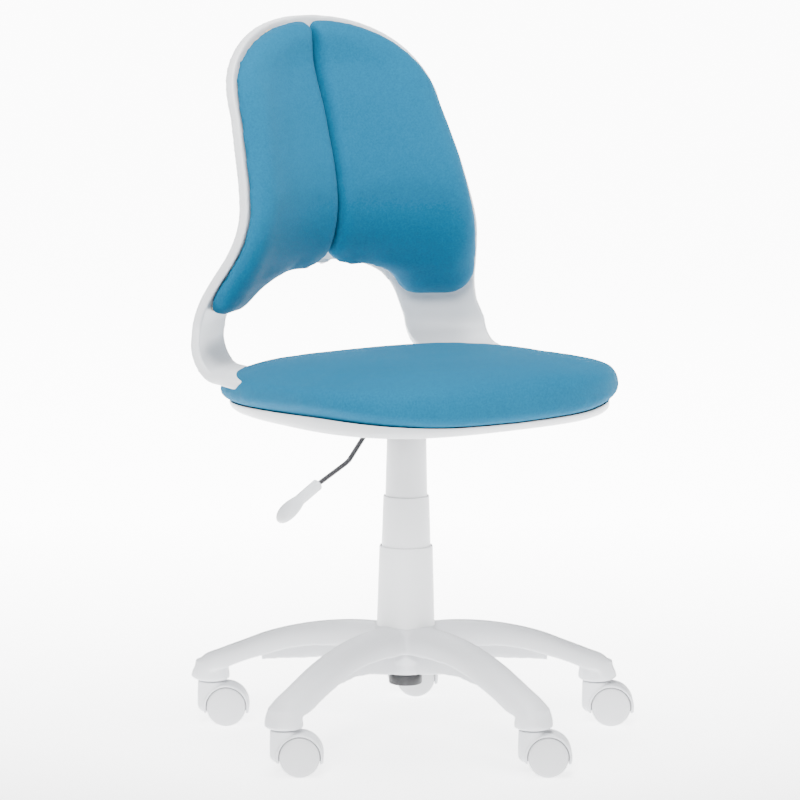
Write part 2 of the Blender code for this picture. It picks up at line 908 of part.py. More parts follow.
def seat_bolts():
    under_plate = plate_top_z - sheet_wall - touch_gap
    mesh = bolt_mesh("seat_bolt_blank", bolt_radius, 0.0055, 0.0045, board_top_z() - 0.002 - under_plate, 12)
    for index, (x, y) in enumerate(bolt_places()):
        bolt = place(bpy.data.objects.new(f"seat_bolt_{index + 1}", mesh), parts, steel_once(mesh))
        bolt.location = (x, y, under_plate)


# Lever


def lever_points():
    z = lever_wire_z
    bend_x = -box_half_sides[0] - 0.008
    return [
        Vector((0.006, 0, z)),
        Vector((bend_x, 0, z)),
        Vector((bend_x - 0.006, 0, z - 0.0160)),
        Vector((bend_x - 0.028, 0, z - 0.0425)),
        Vector((bend_x - 0.034, 0, z - 0.0465)),
        Vector((bend_x - 0.073, 0, z - 0.0665)),
        Vector((bend_x - 0.089, 0, z - 0.0762)),
    ]


def lever():
    points = lever_points()
    curve = bpy.data.curves.new("lever_rod", "CURVE")
    curve.dimensions = "3D"
    curve.bevel_depth = lever_wire_radius
    curve.bevel_resolution = 2
    curve.use_fill_caps = True
    spline = curve.splines.new("POLY")
    spline.points.add(len(points) - 1)
    for target, point in zip(spline.points, points):
        target.co = (*point, 1.0)
    place(bpy.data.objects.new("lever_rod", curve), parts, black_steel())

    start = points[-2]
    along = (points[-1] - points[-2]).normalized()
    up = Vector((0, 1, 0)).cross(along)
    bore_radius = lever_wire_radius + touch_gap + 0.0002
    sections = [
        (0.000, bore_radius + 0.0022, bore_radius + 0.0022),
        (0.002, lever_grip_radius, lever_grip_radius),
        (0.030, lever_grip_radius, lever_grip_radius),
        (0.036, lever_grip_radius + 0.0006, lever_grip_radius - 0.0010),
        (0.046, lever_paddle_half_width, 0.0060),
        (0.058, lever_paddle_half_width, 0.0058),
        (0.066, lever_paddle_half_width - 0.003, 0.0046),
        (0.070, 0.0022, 0.0016),
    ]
    rings = []
    for distance, half_width, half_height in sections:
        centre = start + along * distance - up * 0.004 * max(0.0, (distance - 0.03) / 0.04) ** 2
        ring_points = []
        for i in range(16):
            angle = math.tau * i / 16
            offset = Vector((0, 1, 0)) * half_width * math.cos(angle) + up * half_height * math.sin(angle)
            ring_points.append(tuple(centre + offset))
        rings.append(ring_points)
    paddle = loft("lever_paddle", rings, parts, white_plastic())
    reach = (points[-1] - points[-2]).length + 0.001
    hole = rod_between("paddle_bore", bore_radius, -0.010, reach, small_sides)
    hole.location = start
    hole.rotation_euler = along.to_track_quat("Z", "Y").to_euler()
    boolean(paddle, hole)


# Back frame


def foot_half_width():
    return seat_half_width - 0.0025


def back_depth(z):
    """How far behind the column the middle of the back's shell stands at a height."""
    top = back_top_z
    return eased(
        [
            (0.497, 0.2320),
            (0.515, 0.2315),
            (0.540, 0.2215),
            (0.566, 0.2020),
            (0.593, 0.1795),
            (0.618, 0.1650),
            (0.645, 0.1597),
            (0.680, 0.1650),
            (0.715, 0.1755),
            (top - 0.111, 0.1905),
            (top - 0.066, 0.2085),
            (top - 0.031, 0.2140),
            (top, 0.2155),
        ],
        z,
    )


def shoulder_z(x):
    rise = back_top_z - back_shoulder_z
    power = back_shoulder_power
    return back_shoulder_z + rise * (1 - (x / back_shoulder_half_width) ** power) ** (1 / power)


def back_width(z):
    """Half the width of the back at a height: round shoulders, a waist, and legs that spread to the foot."""
    if z > back_shoulder_z:
        share = (z - back_shoulder_z) / (back_top_z - back_shoulder_z)
        power = back_shoulder_power
        return back_shoulder_half_width * (1 - min(share, 1.0) ** power) ** (1 / power)
    spread = [(0.48, 1.0), (0.52, 0.866), (0.56, 0.693), (0.60, 0.472), (0.65, 0.26), (0.71, 0.126), (0.76, 0.0)]
    share = eased(spread, z)
    return back_shoulder_half_width + (foot_half_width() - back_shoulder_half_width) * share


def back_rows():
    """Rows of (depth, height, inner half-width, outer half-width), from the top edge to the end of the foot."""
    rows = []
    rise = back_top_z - back_shoulder_z
    for degrees in (78, 64, 50, 36, 20, 0):
        share = math.sin(math.radians(degrees)) ** (2 / back_shoulder_power)
        z = back_shoulder_z + rise * share
        rows.append((back_depth(z), z, 0.0, back_width(z)))
    for share in (0.2, 0.38, 0.54, 0.68, 0.80, 0.91, 1.0):
        z = back_shoulder_z + (arch_top_z - back_shoulder_z) * share
        rows.append((back_depth(z), z, 0.0, back_width(z)))
    arch_width = foot_half_width() - leg_width
    for degrees in (80, 66, 53, 41, 29, 19):
        angle = math.radians(degrees)
        z = arch_foot_z + (arch_top_z - arch_foot_z) * math.sin(angle) ** (2 / arch_power)
        rows.append((back_depth(z), z, arch_width * math.cos(angle) ** (2 / arch_power), back_width(z)))
    rows.extend(foot_rows())
    return rows


def foot_rows():
    """The bend at the bottom of a leg and the tang that runs forward into the cushion."""
    outer = foot_half_width()
    inner = outer - leg_width
    flat = board_top_z() + touch_gap + back_thickness / 2
    entry = max(foot_entry_z, flat)
    bend = back_depth(0.497)
    radius = 0.497 - entry
    rows = []
    for degrees in (10, 35, 60, 85):
        angle = math.radians(degrees)
        y = bend - radius * (1 - math.cos(angle))
        rows.append((y, 0.497 - radius * math.sin(angle), inner, outer))
    start = bend - radius
    rows.append((start - 0.020, entry - 0.0005, inner, outer))
    rows.append((start - 0.036, entry - 0.0025, inner, outer - 0.004))
    rows.append((start - 0.058, (entry + flat) / 2, inner + 0.002, outer - 0.014))
    rows.append((start - 0.078, flat, inner + 0.004, outer - 0.022))
    rows.append((start - 0.118, flat, inner + 0.006, outer - 0.026))
    return rows


def back_surface(name, rows, columns, mirrored, collection):
    """The middle surface of the back as an open sheet, each row bowed forward at its outer end."""
    vertices = []
    for number, (y, z, inner, outer) in enumerate(rows):
        for i in range(columns + 1):
            x = inner + (outer - inner) * i / columns
            height = shoulder_z(x) if number == 0 and inner == 0.0 else z
            vertices.append((x, y - back_wrap * x * x, height))
    faces = []
    for row in range(len(rows) - 1):
        for i in range(columns):
            a = row * (columns + 1) + i
            faces.append((a, a + columns + 1, a + columns + 2, a + 1))
    sheet = mesh_object(name, vertices, faces)
    if mirrored:
        step = sheet.modifiers.new("mirror", "MIRROR")
        step.use_clip = True
        step.merge_threshold = 0.00005
    return place(sheet, collection)


def thicken(sheet, thickness, offset=0.0):
    step = sheet.modifiers.new("thicken", "SOLIDIFY")
    step.thickness = thickness
    step.offset = offset
    step.use_even_offset = True
    return step


def back_frame():
    frame = back_surface("back_frame", back_rows(), 5, True, parts)
    frame.data.materials.append(white_plastic())
    thicken(frame, back_thickness)
    bevel(frame, 0.0035, 1, 50)
    for index, (x, y) in enumerate(back_screw_places()):
        top = board_top_z() + 0.0100
        hole = rod_between(f"tang_hole_{index}", back_screw_radius + running_gap, 0.40, top)
        hole.location = (x, y, 0)
        boolean(frame, hole)
    return frame


def foot_pocket():
    rows = [(y, z, inner - pocket_gap, outer + pocket_gap) for y, z, inner, outer in foot_rows()[2:]]
    y, z, inner, outer = rows[-1]
    rows.append((y - pocket_gap, z, inner, outer))
    pocket = back_surface("foot_pocket", rows, 7, True, cutters)
    thicken(pocket, back_thickness + 2 * pocket_gap)
    return pocket


def back_screw_places():
    rows = foot_rows()
    y, _, inner, outer = rows[-1]
    x = (inner + outer) / 2
    reach = y - back_wrap * x * x
    return [(side * x, reach + back) for side in (-1, 1) for back in (0.009, 0.029)]


def back_screws():
    under_board = board_low_z() - touch_gap
    length = board_top_z() + 0.0085 - under_board
    mesh = bolt_mesh("back_screw_blank", back_screw_radius, 0.0045, 0.0025, length, 12)
    for index, (x, y) in enumerate(back_screw_places()):
        screw = place(bpy.data.objects.new(f"back_screw_{index + 1}", mesh), parts, steel_once(mesh))
        screw.location = (x, y, under_board)


# Back pads


def rounding(distance, radius, reach):
    """How far an edge is drawn in near a corner, at a distance from the corner's end."""
    if distance >= radius:
        return 0.0
    return reach * (1 - math.sqrt(1 - (1 - max(distance, 0.0) / radius) ** 2))


def pad_top_z():
    return back_top_z - pad_top_edge


def pad_bottom_z():
    return arch_top_z - pad_lobe_drop


def pad_split_foot_z():
    return arch_top_z + pad_arch_gap


def pad_span(z):
    """Inner and outer edge of the left pad at a height."""
    if z > back_shoulder_z:
        share = min((z - back_shoulder_z) / (pad_top_z() - back_shoulder_z), 1.0)
        power = back_shoulder_power
        outer = (back_shoulder_half_width - pad_edge) * (1 - share**power) ** (1 / power)
    else:
        outer = back_width(z) - pad_edge
    above = (z - pad_arch_gap - arch_foot_z) / (arch_top_z - arch_foot_z)
    above = min(max(above, 0.0), 1.0)
    arch = (foot_half_width() - leg_width) * (1 - above**arch_power) ** (1 / arch_power)
    inner = max(arch, pad_split_gap)
    inner += rounding(pad_top_z() - z, *pad_notch_round)
    if z >= pad_split_foot_z():
        inner += rounding(z - pad_split_foot_z(), *pad_split_round)
    inner += rounding(z - pad_bottom_z(), *pad_arch_round)
    outer -= rounding(z - pad_bottom_z(), *pad_lobe_round)
    return inner, outer


def pad_heights():
    """Heights of the rows across a pad, closer together where its edge turns."""
    rise = pad_top_z() - back_shoulder_z
    rows = []
    for degrees in (79, 66, 50, 32, 14):
        rows.append(back_shoulder_z + rise * math.sin(math.radians(degrees)) ** (2 / back_shoulder_power))
    split_foot = pad_split_foot_z()
    for share in (0.93, 0.74, 0.56, 0.40, 0.24, 0.10, 0.0):
        rows.append(split_foot + (back_shoulder_z - split_foot) * share)
    for share in (0.86, 0.64, 0.42, 0.22, 0.07, 0.0):
        rows.append(pad_bottom_z() + (split_foot - pad_bottom_z()) * share)
    return rows


def on_back(x, z, height):
    """A point at a height above the front of the back's shell."""
    slope = (back_depth(z + 0.001) - back_depth(z - 0.001)) / 0.002
    normal = Vector((-2 * back_wrap * x, -1.0, slope)).normalized()
    return Vector((x, back_depth(z) - back_wrap * x * x, z)) + normal * (back_thickness / 2 + height)


def closed_patch(name, over, under, look):
    """A closed solid between two grids of points, rows and columns alike."""
    rows = len(over)
    columns = len(over[0])
    vertices = [tuple(point) for grid in (over, under) for row in grid for point in row]
    below = rows * columns
    faces = []
    for r in range(rows - 1):
        for c in range(columns - 1):
            a = r * columns + c
            faces.append((a, a + columns, a + columns + 1, a + 1))
            faces.append((below + a, below + a + 1, below + a + columns + 1, below + a + columns))
    rim = list(range(columns))
    rim += [r * columns + columns - 1 for r in range(1, rows)]
    rim += [(rows - 1) * columns + c for c in range(columns - 2, -1, -1)]
    rim += [r * columns for r in range(rows - 2, 0, -1)]
    for a, b in zip(rim, rim[1:] + rim[:1]):
        faces.append((a, b, below + b, below + a))
    patch = mesh_object(name, vertices, faces)
    outward_faces(patch.data)
    return place(patch, parts, look)


def back_pads():
    """Each pad is a domed cushion whose hem reaches round the board that carries it."""
    shares = (0.0, 0.05, 0.17, 0.36, 0.64, 0.83, 0.95, 1.0)
    grid = []
    for z in pad_heights():
        inner, outer = pad_span(z)
        grid.append([(inner + (outer - inner) * share, z) for share in shares])
    rows = len(grid)
    columns = len(grid[0])
    split_foot = pad_split_foot_z()
    border = [(x, z, 1.0) for row in (grid[0], grid[-1]) for x, z in row]
    border += [(row[-1][0], row[-1][1], 1.0) for row in grid]
    border += [(row[0][0], row[0][1], pad_split_steepness if row[0][1] > split_foot else 1.0) for row in grid]
    board_top = pad_gap + pad_board_thickness
    hem_top = pad_gap + pad_hem_height
    over = []
    under = []
    for r, row in enumerate(grid):
        over.append([])
        under.append([])
        for c, (x, z) in enumerate(row):
            away = min(math.hypot(x - bx, z - bz) * steepness for bx, bz, steepness in border)
            part_way = 1 - min(away / pad_soft_edge, 1.0)
            dome = (1 - part_way**pad_dome_power) ** (1 / pad_dome_power)
            at_edge = r in (0, rows - 1) or c in (0, columns - 1)
            over[-1].append(on_back(x, z, hem_top + (pad_thickness - hem_top) * dome))
            under[-1].append(on_back(x, z, pad_gap if at_edge else board_top + touch_gap))
    pad = closed_patch("back_pad_left", over, under, blue_fabric())
    inside = [row[1:-1] for row in grid[1:-1]]
    over = [[on_back(x, z, board_top) for x, z in row] for row in inside]
    under = [[on_back(x, z, pad_gap) for x, z in row] for row in inside]
    board = closed_patch("pad_board_left", over, under, plywood())
    for source, name in ((pad, "back_pad_right"), (board, "pad_board_right")):
        twin = place(bpy.data.objects.new(name, source.data), parts)
        twin.scale.x = -1.0


def settle_on_footprint():
    """Moves the whole chair so that the middle of its bounding box's underside is the origin."""
    bpy.context.view_layer.update()
    graph = bpy.context.evaluated_depsgraph_get()
    low = Vector((1e9, 1e9, 1e9))
    high = -low
    for obj in parts.objects:
        seen = obj.evaluated_get(graph)
        mesh = seen.to_mesh()
        for vertex in mesh.vertices:
            point = seen.matrix_world @ vertex.co
            low = Vector(map(min, low, point))
            high = Vector(map(max, high, point))
        seen.to_mesh_clear()
    origin.location = (-(low.x + high.x) / 2, -(low.y + high.y) / 2, -low.z)


origin = clear_scene()
star_base()
casters()
column()
covers()
seat_plate()
seat_shell()
seat_board()
seat_cushion()
seat_bolts()
lever()
back_frame()
back_screws()
back_pads()
settle_on_footprint()
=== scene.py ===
import json
import math

import bmesh
import bpy
import numpy as np
from mathutils import Matrix, Vector


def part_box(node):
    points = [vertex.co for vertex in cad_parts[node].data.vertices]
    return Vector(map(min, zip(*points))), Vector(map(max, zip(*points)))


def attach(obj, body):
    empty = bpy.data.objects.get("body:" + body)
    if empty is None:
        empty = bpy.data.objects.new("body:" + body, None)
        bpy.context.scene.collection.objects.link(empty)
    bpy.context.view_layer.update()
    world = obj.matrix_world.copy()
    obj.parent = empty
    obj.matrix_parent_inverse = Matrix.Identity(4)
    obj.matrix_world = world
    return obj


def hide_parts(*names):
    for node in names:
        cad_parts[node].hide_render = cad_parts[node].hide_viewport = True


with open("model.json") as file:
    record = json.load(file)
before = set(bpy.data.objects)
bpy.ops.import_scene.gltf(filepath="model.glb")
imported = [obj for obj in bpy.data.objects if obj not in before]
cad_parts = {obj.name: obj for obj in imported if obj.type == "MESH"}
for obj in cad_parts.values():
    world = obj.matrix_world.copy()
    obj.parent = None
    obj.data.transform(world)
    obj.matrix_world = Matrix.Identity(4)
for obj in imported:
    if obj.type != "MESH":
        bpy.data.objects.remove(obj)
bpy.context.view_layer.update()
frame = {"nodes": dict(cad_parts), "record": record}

joints = {j["name"]: j for j in frame["record"]["behaviour"]["joints"]}
axisX, axisY = joints["seat_swivel"]["pos_m"][:2]

# the base, back, lever and camera settings count heights from a datum 8.5 mm under the floor; the covers,
# end cap and casters count from the floor itself
datumRise = -0.0085
columnAxis = Vector((axisX, axisY, datumRise))
columnFoot = Vector((axisX, axisY, 0))


def eased(points, at):
    # smooth curve through (x, value) pairs
    if at <= points[0][0]:
        return points[0][1]
    if at >= points[-1][0]:
        return points[-1][1]
    last = len(points) - 1
    i = max(k for k in range(last) if points[k][0] <= at)
    (x0, y0), (x1, y1) = points[i], points[i + 1]
    before, after = points[max(i - 1, 0)], points[min(i + 2, last)]
    m0 = (y1 - before[1]) / (x1 - before[0])
    m1 = (after[1] - y0) / (after[0] - x0)
    span = x1 - x0
    t = (at - x0) / span
    return ((2 * t**3 - 3 * t**2 + 1) * y0 + (t**3 - 2 * t**2 + t) * span * m0
            + (3 * t**2 - 2 * t**3) * y1 + (t**3 - t**2) * span * m1)


def link(obj):
    bpy.context.scene.collection.objects.link(obj)
    return obj


def meshObject(name, vertices, faces, edges=()):
    mesh = bpy.data.meshes.new(name)
    mesh.from_pydata([tuple(v) for v in vertices], edges, faces)
    mesh.update()
    return link(bpy.data.objects.new(name, mesh))


def facesOut(obj):
    shape = bmesh.new()
    shape.from_mesh(obj.data)
    bmesh.ops.recalc_face_normals(shape, faces=shape.faces)
    shape.to_mesh(obj.data)
    shape.free()
    return obj


def loft(name, rings):
    count = len(rings[0])
    vertices = [p for ring in rings for p in ring]
    faces = []
    for row in range(len(rings) - 1):
        for i in range(count):
            j = (i + 1) % count
            a = row * count
            faces.append((a + i, a + j, a + count + j, a + count + i))
    faces.append(tuple(range(count)))
    faces.append(tuple(range(len(vertices) - count, len(vertices))))
    return facesOut(meshObject(name, vertices, faces))


def turned(name, profile, steps=96, closed=False):
    # profile of (radius, height), swept round Z
    points = [(r, 0.0, z) for r, z in profile]
    edges = [(i, i + 1) for i in range(len(points) - 1)]
    if closed:
        edges.append((len(points) - 1, 0))
    obj = meshObject(name, points, (), edges)
    screw = obj.modifiers.new("turn", "SCREW")
    screw.angle = math.tau
    screw.steps = screw.render_steps = steps
    screw.use_merge_vertices = True
    screw.merge_threshold = 0.00001
    return facesOut(settled(obj))


def settled(obj):
    # replaces the object's mesh by what its modifiers make of it
    bpy.context.view_layer.update()
    graph = bpy.context.evaluated_depsgraph_get()
    mesh = bpy.data.meshes.new_from_object(obj.evaluated_get(graph))
    obj.modifiers.clear()
    old = obj.data
    obj.data = mesh
    if old.users == 0:
        bpy.data.meshes.remove(old)
    return obj


def joined(obj, other, operation="UNION"):
    step = obj.modifiers.new("join", "BOOLEAN")
    step.operation = operation
    step.solver = "MANIFOLD"
    step.object = other
    settled(obj)
    bpy.data.objects.remove(other)
    return obj


def moulded(obj, voxel, passes, keep=1.0, group=None, groupPasses=0):
    # one skin with every edge softened, as it comes out of a mould
    remesh = obj.modifiers.new("skin", "REMESH")
    remesh.mode = "VOXEL"
    remesh.voxel_size = voxel
    settled(obj)
    if group:
        weights = obj.vertex_groups.new(name="soft")
        for vertex in obj.data.vertices:
            amount = group(vertex.co)
            if amount > 0:
                weights.add([vertex.index], amount, "REPLACE")
        local = obj.modifiers.new("blend", "SMOOTH")
        local.factor = 0.5
        local.iterations = groupPasses
        local.vertex_group = "soft"
    smooth = obj.modifiers.new("soften", "SMOOTH")
    smooth.factor = 0.5
    smooth.iterations = passes
    if keep < 1:
        lighter = obj.modifiers.new("lighter", "DECIMATE")
        lighter.ratio = keep
    settled(obj)
    obj.data.shade_smooth()
    return obj


def shaded(obj, angle=35):
    obj.data.shade_smooth()
    obj.data.set_sharp_from_angle(angle=math.radians(angle))
    return obj


def superellipse(halfX, halfY, power, count):
    made = []
    for i in range(count):
        a = math.tau * i / count
        c, s = math.cos(a), math.sin(a)
        r = (abs(c / halfX) ** power + abs(s / halfY) ** power) ** (-1 / power)
        made.append((r * c, r * s))
    return made


def finish(obj, body, look, replaces=()):
    obj.data.materials.clear()
    obj.data.materials.append(look)
    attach(obj, body)
    if replaces:
        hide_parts(*replaces)
    return obj


class Sock:
    # a node output that takes part in sums
    def __init__(self, look, out):
        self.look = look
        self.out = out

    def math(self, operation, *others):
        return self.look.node("ShaderNodeMath", {"operation": operation}, [self, *others])

    def __add__(self, other):
        return self.math("ADD", other)

    __radd__ = __add__

    def __mul__(self, other):
        return self.math("MULTIPLY", other)

    __rmul__ = __mul__

    def __sub__(self, other):
        return self.math("SUBTRACT", other)

    def __rsub__(self, other):
        return self.look.node("ShaderNodeMath", {"operation": "SUBTRACT"}, [other, self])

    def __truediv__(self, other):
        return self.math("DIVIDE", other)

    def __pow__(self, other):
        return self.math("POWER", other)

    def __abs__(self):
        return self.math("ABSOLUTE")

    def sine(self):
        return self.math("SINE")

    def between(self, low, high, toLow=0.0, toHigh=1.0):
        return self.look.node("ShaderNodeMapRange", {}, {0: self, 1: low, 2: high, 3: toLow, 4: toHigh})


class Look:
    # one material and its nodes
    def __init__(self, name, **uniform):
        self.material = bpy.data.materials.new(name)
        self.material.use_nodes = True
        self.tree = self.material.node_tree
        self.shader = next(n for n in self.tree.nodes if n.type == "BSDF_PRINCIPLED")
        for key, value in uniform.items():
            self.shader.inputs[key.replace("_", " ")].default_value = value
        self.place = self.node("ShaderNodeTexCoord", {}, {}, "Object")

    def node(self, kind, settings, inputs, output=0):
        made = self.tree.nodes.new(kind)
        for key, value in settings.items():
            setattr(made, key, value)
        pairs = inputs.items() if isinstance(inputs, dict) else enumerate(inputs)
        for key, value in pairs:
            if isinstance(value, Sock):
                self.tree.links.new(value.out, made.inputs[key])
            else:
                made.inputs[key].default_value = value
        return Sock(self, made.outputs[output])

    def noise(self, scale, detail=2.0, stretch=None, rough=0.5):
        where = self.place
        if stretch:
            where = self.node("ShaderNodeVectorMath", {"operation": "MULTIPLY"}, {0: where, 1: stretch})
        inputs = {"Vector": where, "Scale": scale, "Detail": detail, "Roughness": rough}
        return self.node("ShaderNodeTexNoise", {}, inputs, "Fac")

    def cells(self, scale):
        return self.node("ShaderNodeTexVoronoi", {}, {"Vector": self.place, "Scale": scale}, "Distance")

    def split(self, vector):
        made = self.tree.nodes.new("ShaderNodeSeparateXYZ")
        self.tree.links.new(vector.out, made.inputs[0])
        return [Sock(self, made.outputs[i]) for i in range(3)]

    def mix(self, amount, first, second):
        made = self.tree.nodes.new("ShaderNodeMix")
        made.data_type = "RGBA"
        for index, value in ((0, amount), (6, first), (7, second)):
            if isinstance(value, Sock):
                self.tree.links.new(value.out, made.inputs[index])
            elif index == 0:
                made.inputs[0].default_value = value
            else:
                made.inputs[index].default_value = (*value, 1.0)
        return Sock(self, made.outputs[2])

    def bump(self, height, strength, distance, onto=None):
        inputs = {"Height": height, "Strength": strength, "Distance": distance}
        if onto:
            inputs["Normal"] = onto
        return self.node("ShaderNodeBump", {}, inputs, "Normal")

    def feed(self, **links):
        for key, value in links.items():
            self.tree.links.new(value.out, self.shader.inputs[key.replace("_", " ")])
        return self.material


def plasticLook(name, color, shade, grain, roughness, wear=0.0):
    look = Look(name, Specular_IOR_Level=0.42)
    clouds = look.noise(9.0, 3.0)
    fine = look.noise(grain, 2.0)
    pitted = look.cells(grain * 1.3)
    tone = look.mix(clouds.between(0.35, 0.7), color, shade)
    edge = look.node("ShaderNodeNewGeometry", {}, {}, "Pointiness")
    scuff = edge.between(0.53, 0.60) * look.noise(60.0, 4.0).between(0.5, 0.7) * wear
    # darker where pointiness finds hollows and creases: painted shade
    paintedCreaseShade = edge.between(0.49, 0.44) * 0.35
    tone = look.mix(paintedCreaseShade, tone, tuple(c * 0.72 for c in color))
    tone = look.mix(scuff, tone, tuple(c * 0.86 for c in color))
    rough = clouds.between(0.3, 0.7, roughness - 0.04, roughness + 0.05)
    rough = rough + (fine - 0.5) * 0.06 + scuff * 0.12
    normal = look.bump(fine, 0.12, 0.0002)
    normal = look.bump(pitted, 0.10, 0.00015, normal)
    return look.feed(Base_Color=tone, Roughness=rough, Normal=normal)


def fabricLook(name, color, pale, deep, pitch):
    sheen = {"Sheen_Weight": 0.06, "Sheen_Roughness": 0.45, "Sheen_Tint": (0.30, 0.70, 0.95, 1.0)}
    look = Look(name, Specular_IOR_Level=0.15, **sheen)
    x, y, z = look.split(look.place)
    nx, ny, nz = look.split(look.node("ShaderNodeTexCoord", {}, {}, "Normal"))
    turns = math.tau / pitch
    wander = (look.noise(22.0, 2.0) - 0.5) * 0.9

    def cloth(a, b):
        # over-and-under threads in the plane of a and b
        return (a * turns + wander).sine() * (b * turns + wander).sine()

    upward, forward, sideways = abs(nz) ** 3, abs(ny) ** 3, abs(nx) ** 3
    total = upward + forward + sideways + 0.001
    weave = (cloth(x, y) * upward + cloth(x, z) * forward + cloth(y, z) * sideways) / total
    threads = look.noise(900.0, 2.0)
    melange = look.noise(420.0, 3.0, rough=0.7)
    broad = look.noise(5.0, 2.0)
    tone = look.mix(melange.between(0.32, 0.68), deep, pale)
    tone = look.mix(0.55, tone, color)
    tone = look.mix(weave.between(-1.0, 1.0, 0.0, 0.28), tone, deep)
    tone = look.mix(broad.between(0.4, 0.7, 0.0, 0.18), tone, pale)
    rough = melange.between(0.3, 0.7, 0.82, 0.95)
    normal = look.bump(weave, 0.30, 0.0003)
    normal = look.bump(threads, 0.20, 0.0003, normal)
    return look.feed(Base_Color=tone, Roughness=rough, Normal=normal)


def metalLook(name, color, roughness, metallic, stretch=(1, 1, 12)):
    look = Look(name, Metallic=metallic)
    drawn = look.noise(90.0, 3.0, stretch)
    spots = look.noise(40.0, 3.0)
    tone = look.mix(spots.between(0.4, 0.7), color, tuple(c * 0.82 for c in color))
    rough = drawn.between(0.3, 0.7, roughness - 0.06, roughness + 0.08)
    return look.feed(Base_Color=tone, Roughness=rough, Normal=look.bump(drawn, 0.08, 0.0002))


def plyLook(name):
    look = Look(name)
    grainLines = look.noise(14.0, 5.0, (1.0, 14.0, 30.0))
    tone = look.mix(grainLines.between(0.3, 0.7), (0.58, 0.42, 0.26), (0.40, 0.27, 0.15))
    rough = grainLines.between(0.2, 0.8, 0.6, 0.8)
    return look.feed(Base_Color=tone, Roughness=rough, Normal=look.bump(grainLines, 0.2, 0.0004))


# one white plastic in four copies: the shell, base and wheel copies are darker than the cover copy as painted
# shade, the wheels most
shadedWhiteShell = plasticLook("shadedWhiteShell", (0.70, 0.715, 0.735), (0.67, 0.685, 0.71), 1500.0, 0.42, 0.3)
shadedWhiteBase = plasticLook("shadedWhiteBase", (0.63, 0.64, 0.66), (0.60, 0.61, 0.635), 1200.0, 0.50, 0.5)
whiteCover = plasticLook("whiteCover", (0.80, 0.81, 0.82), (0.775, 0.785, 0.80), 1700.0, 0.48, 0.2)
shadedWheelWhite = plasticLook("shadedWheelWhite", (0.54, 0.545, 0.56), (0.51, 0.515, 0.53), 1400.0, 0.40, 0.8)
blackMatte = plasticLook("blackMatte", (0.022, 0.022, 0.024), (0.030, 0.030, 0.032), 1500.0, 0.52, 0.0)
skyBlue, paleSky, deepSky = (0.001, 0.105, 0.203), (0.004, 0.144, 0.260), (0.0003, 0.067, 0.148)
skyFabric = fabricLook("skyFabric", skyBlue, paleSky, deepSky, 0.0011)
blackPaint = metalLook("blackPaint", (0.020, 0.020, 0.023), 0.42, 0.0, (1, 1, 1))
zinc = metalLook("zinc", (0.62, 0.62, 0.64), 0.32, 1.0)
bumperRubber = plasticLook("bumperRubber", (0.02, 0.02, 0.02), (0.03, 0.03, 0.03), 900.0, 0.8, 0.0)
rawPly = plyLook("rawPly")
print("materials made")

carriedLooks = {
    "seat_plate": blackPaint, "lever_rod": blackPaint, "gas_cylinder": blackPaint, "column_tube": blackPaint,
    "guide_sleeve": blackMatte, "release_button": blackMatte, "rubber_bumper": bumperRubber,
    "piston_rod": zinc, "bearing_race_lower": zinc, "ball_cage": zinc, "bearing_race_upper": zinc,
    "retaining_clip": zinc,
    "seat_board": rawPly, "pad_board_left": rawPly, "pad_board_right": rawPly,
    **{f"{kind}_{n}": zinc for kind in ("seat_bolt", "back_screw") for n in range(1, 5)},
    **{f"caster_{kind}_{n}": zinc for kind in ("stem", "axle") for n in range(1, 6)},
}
for name, look in carriedLooks.items():
    for nodeSlot in frame["nodes"][name].material_slots:
        nodeSlot.material = look


baseSet = {
    "stem": 0.248, "hubTop": 0.1505, "hubLow": 0.089, "tip": 0.0990, "bossLow": 0.0645, "halfWidth": 0.0228,
    "widening": 0.004, "wall": 0.0034, "bossRadius": 0.0225, "tipRadius": 0.0255, "voxel": 0.0017,
    "webHalf": 0.00225, "boreTop": 0.0213, "boreFoot": 0.0193, "passes": 5, "keep": 0.45, "filletPasses": 40,
}


def armTop(r):
    share = eased([(0.12, 0.99), (0.24, 1.0), (0.36, 0.957), (0.48, 0.872), (0.60, 0.745), (0.72, 0.57),
                   (0.83, 0.35), (0.94, 0.13), (1.0, 0.0)], r / baseSet["stem"])
    return baseSet["tip"] + (baseSet["hubTop"] - baseSet["tip"]) * share


def armSkirt(r):
    share = eased([(0.1, 0.61), (0.34, 0.64), (0.45, 0.634), (0.52, 0.60), (0.60, 0.547), (0.68, 0.467),
                   (0.77, 0.378), (0.84, 0.30), (0.90, 0.22), (1.0, 0.16)], r / baseSet["stem"])
    return baseSet["bossLow"] + (baseSet["hubTop"] - baseSet["bossLow"]) * share


def armWidth(r):
    return baseSet["halfWidth"] + baseSet["widening"] * max(0.0, 1 - r / baseSet["stem"] * 1.8)


def arch(half, low, high, count=21, power=2.6):
    made = []
    for i in range(count):
        a = math.pi * (1 - i / (count - 1))
        across = math.copysign(half * abs(math.cos(a)) ** (2 / power), math.cos(a))
        made.append((across, low + (high - low) * abs(math.sin(a)) ** (2 / power)))
    return made


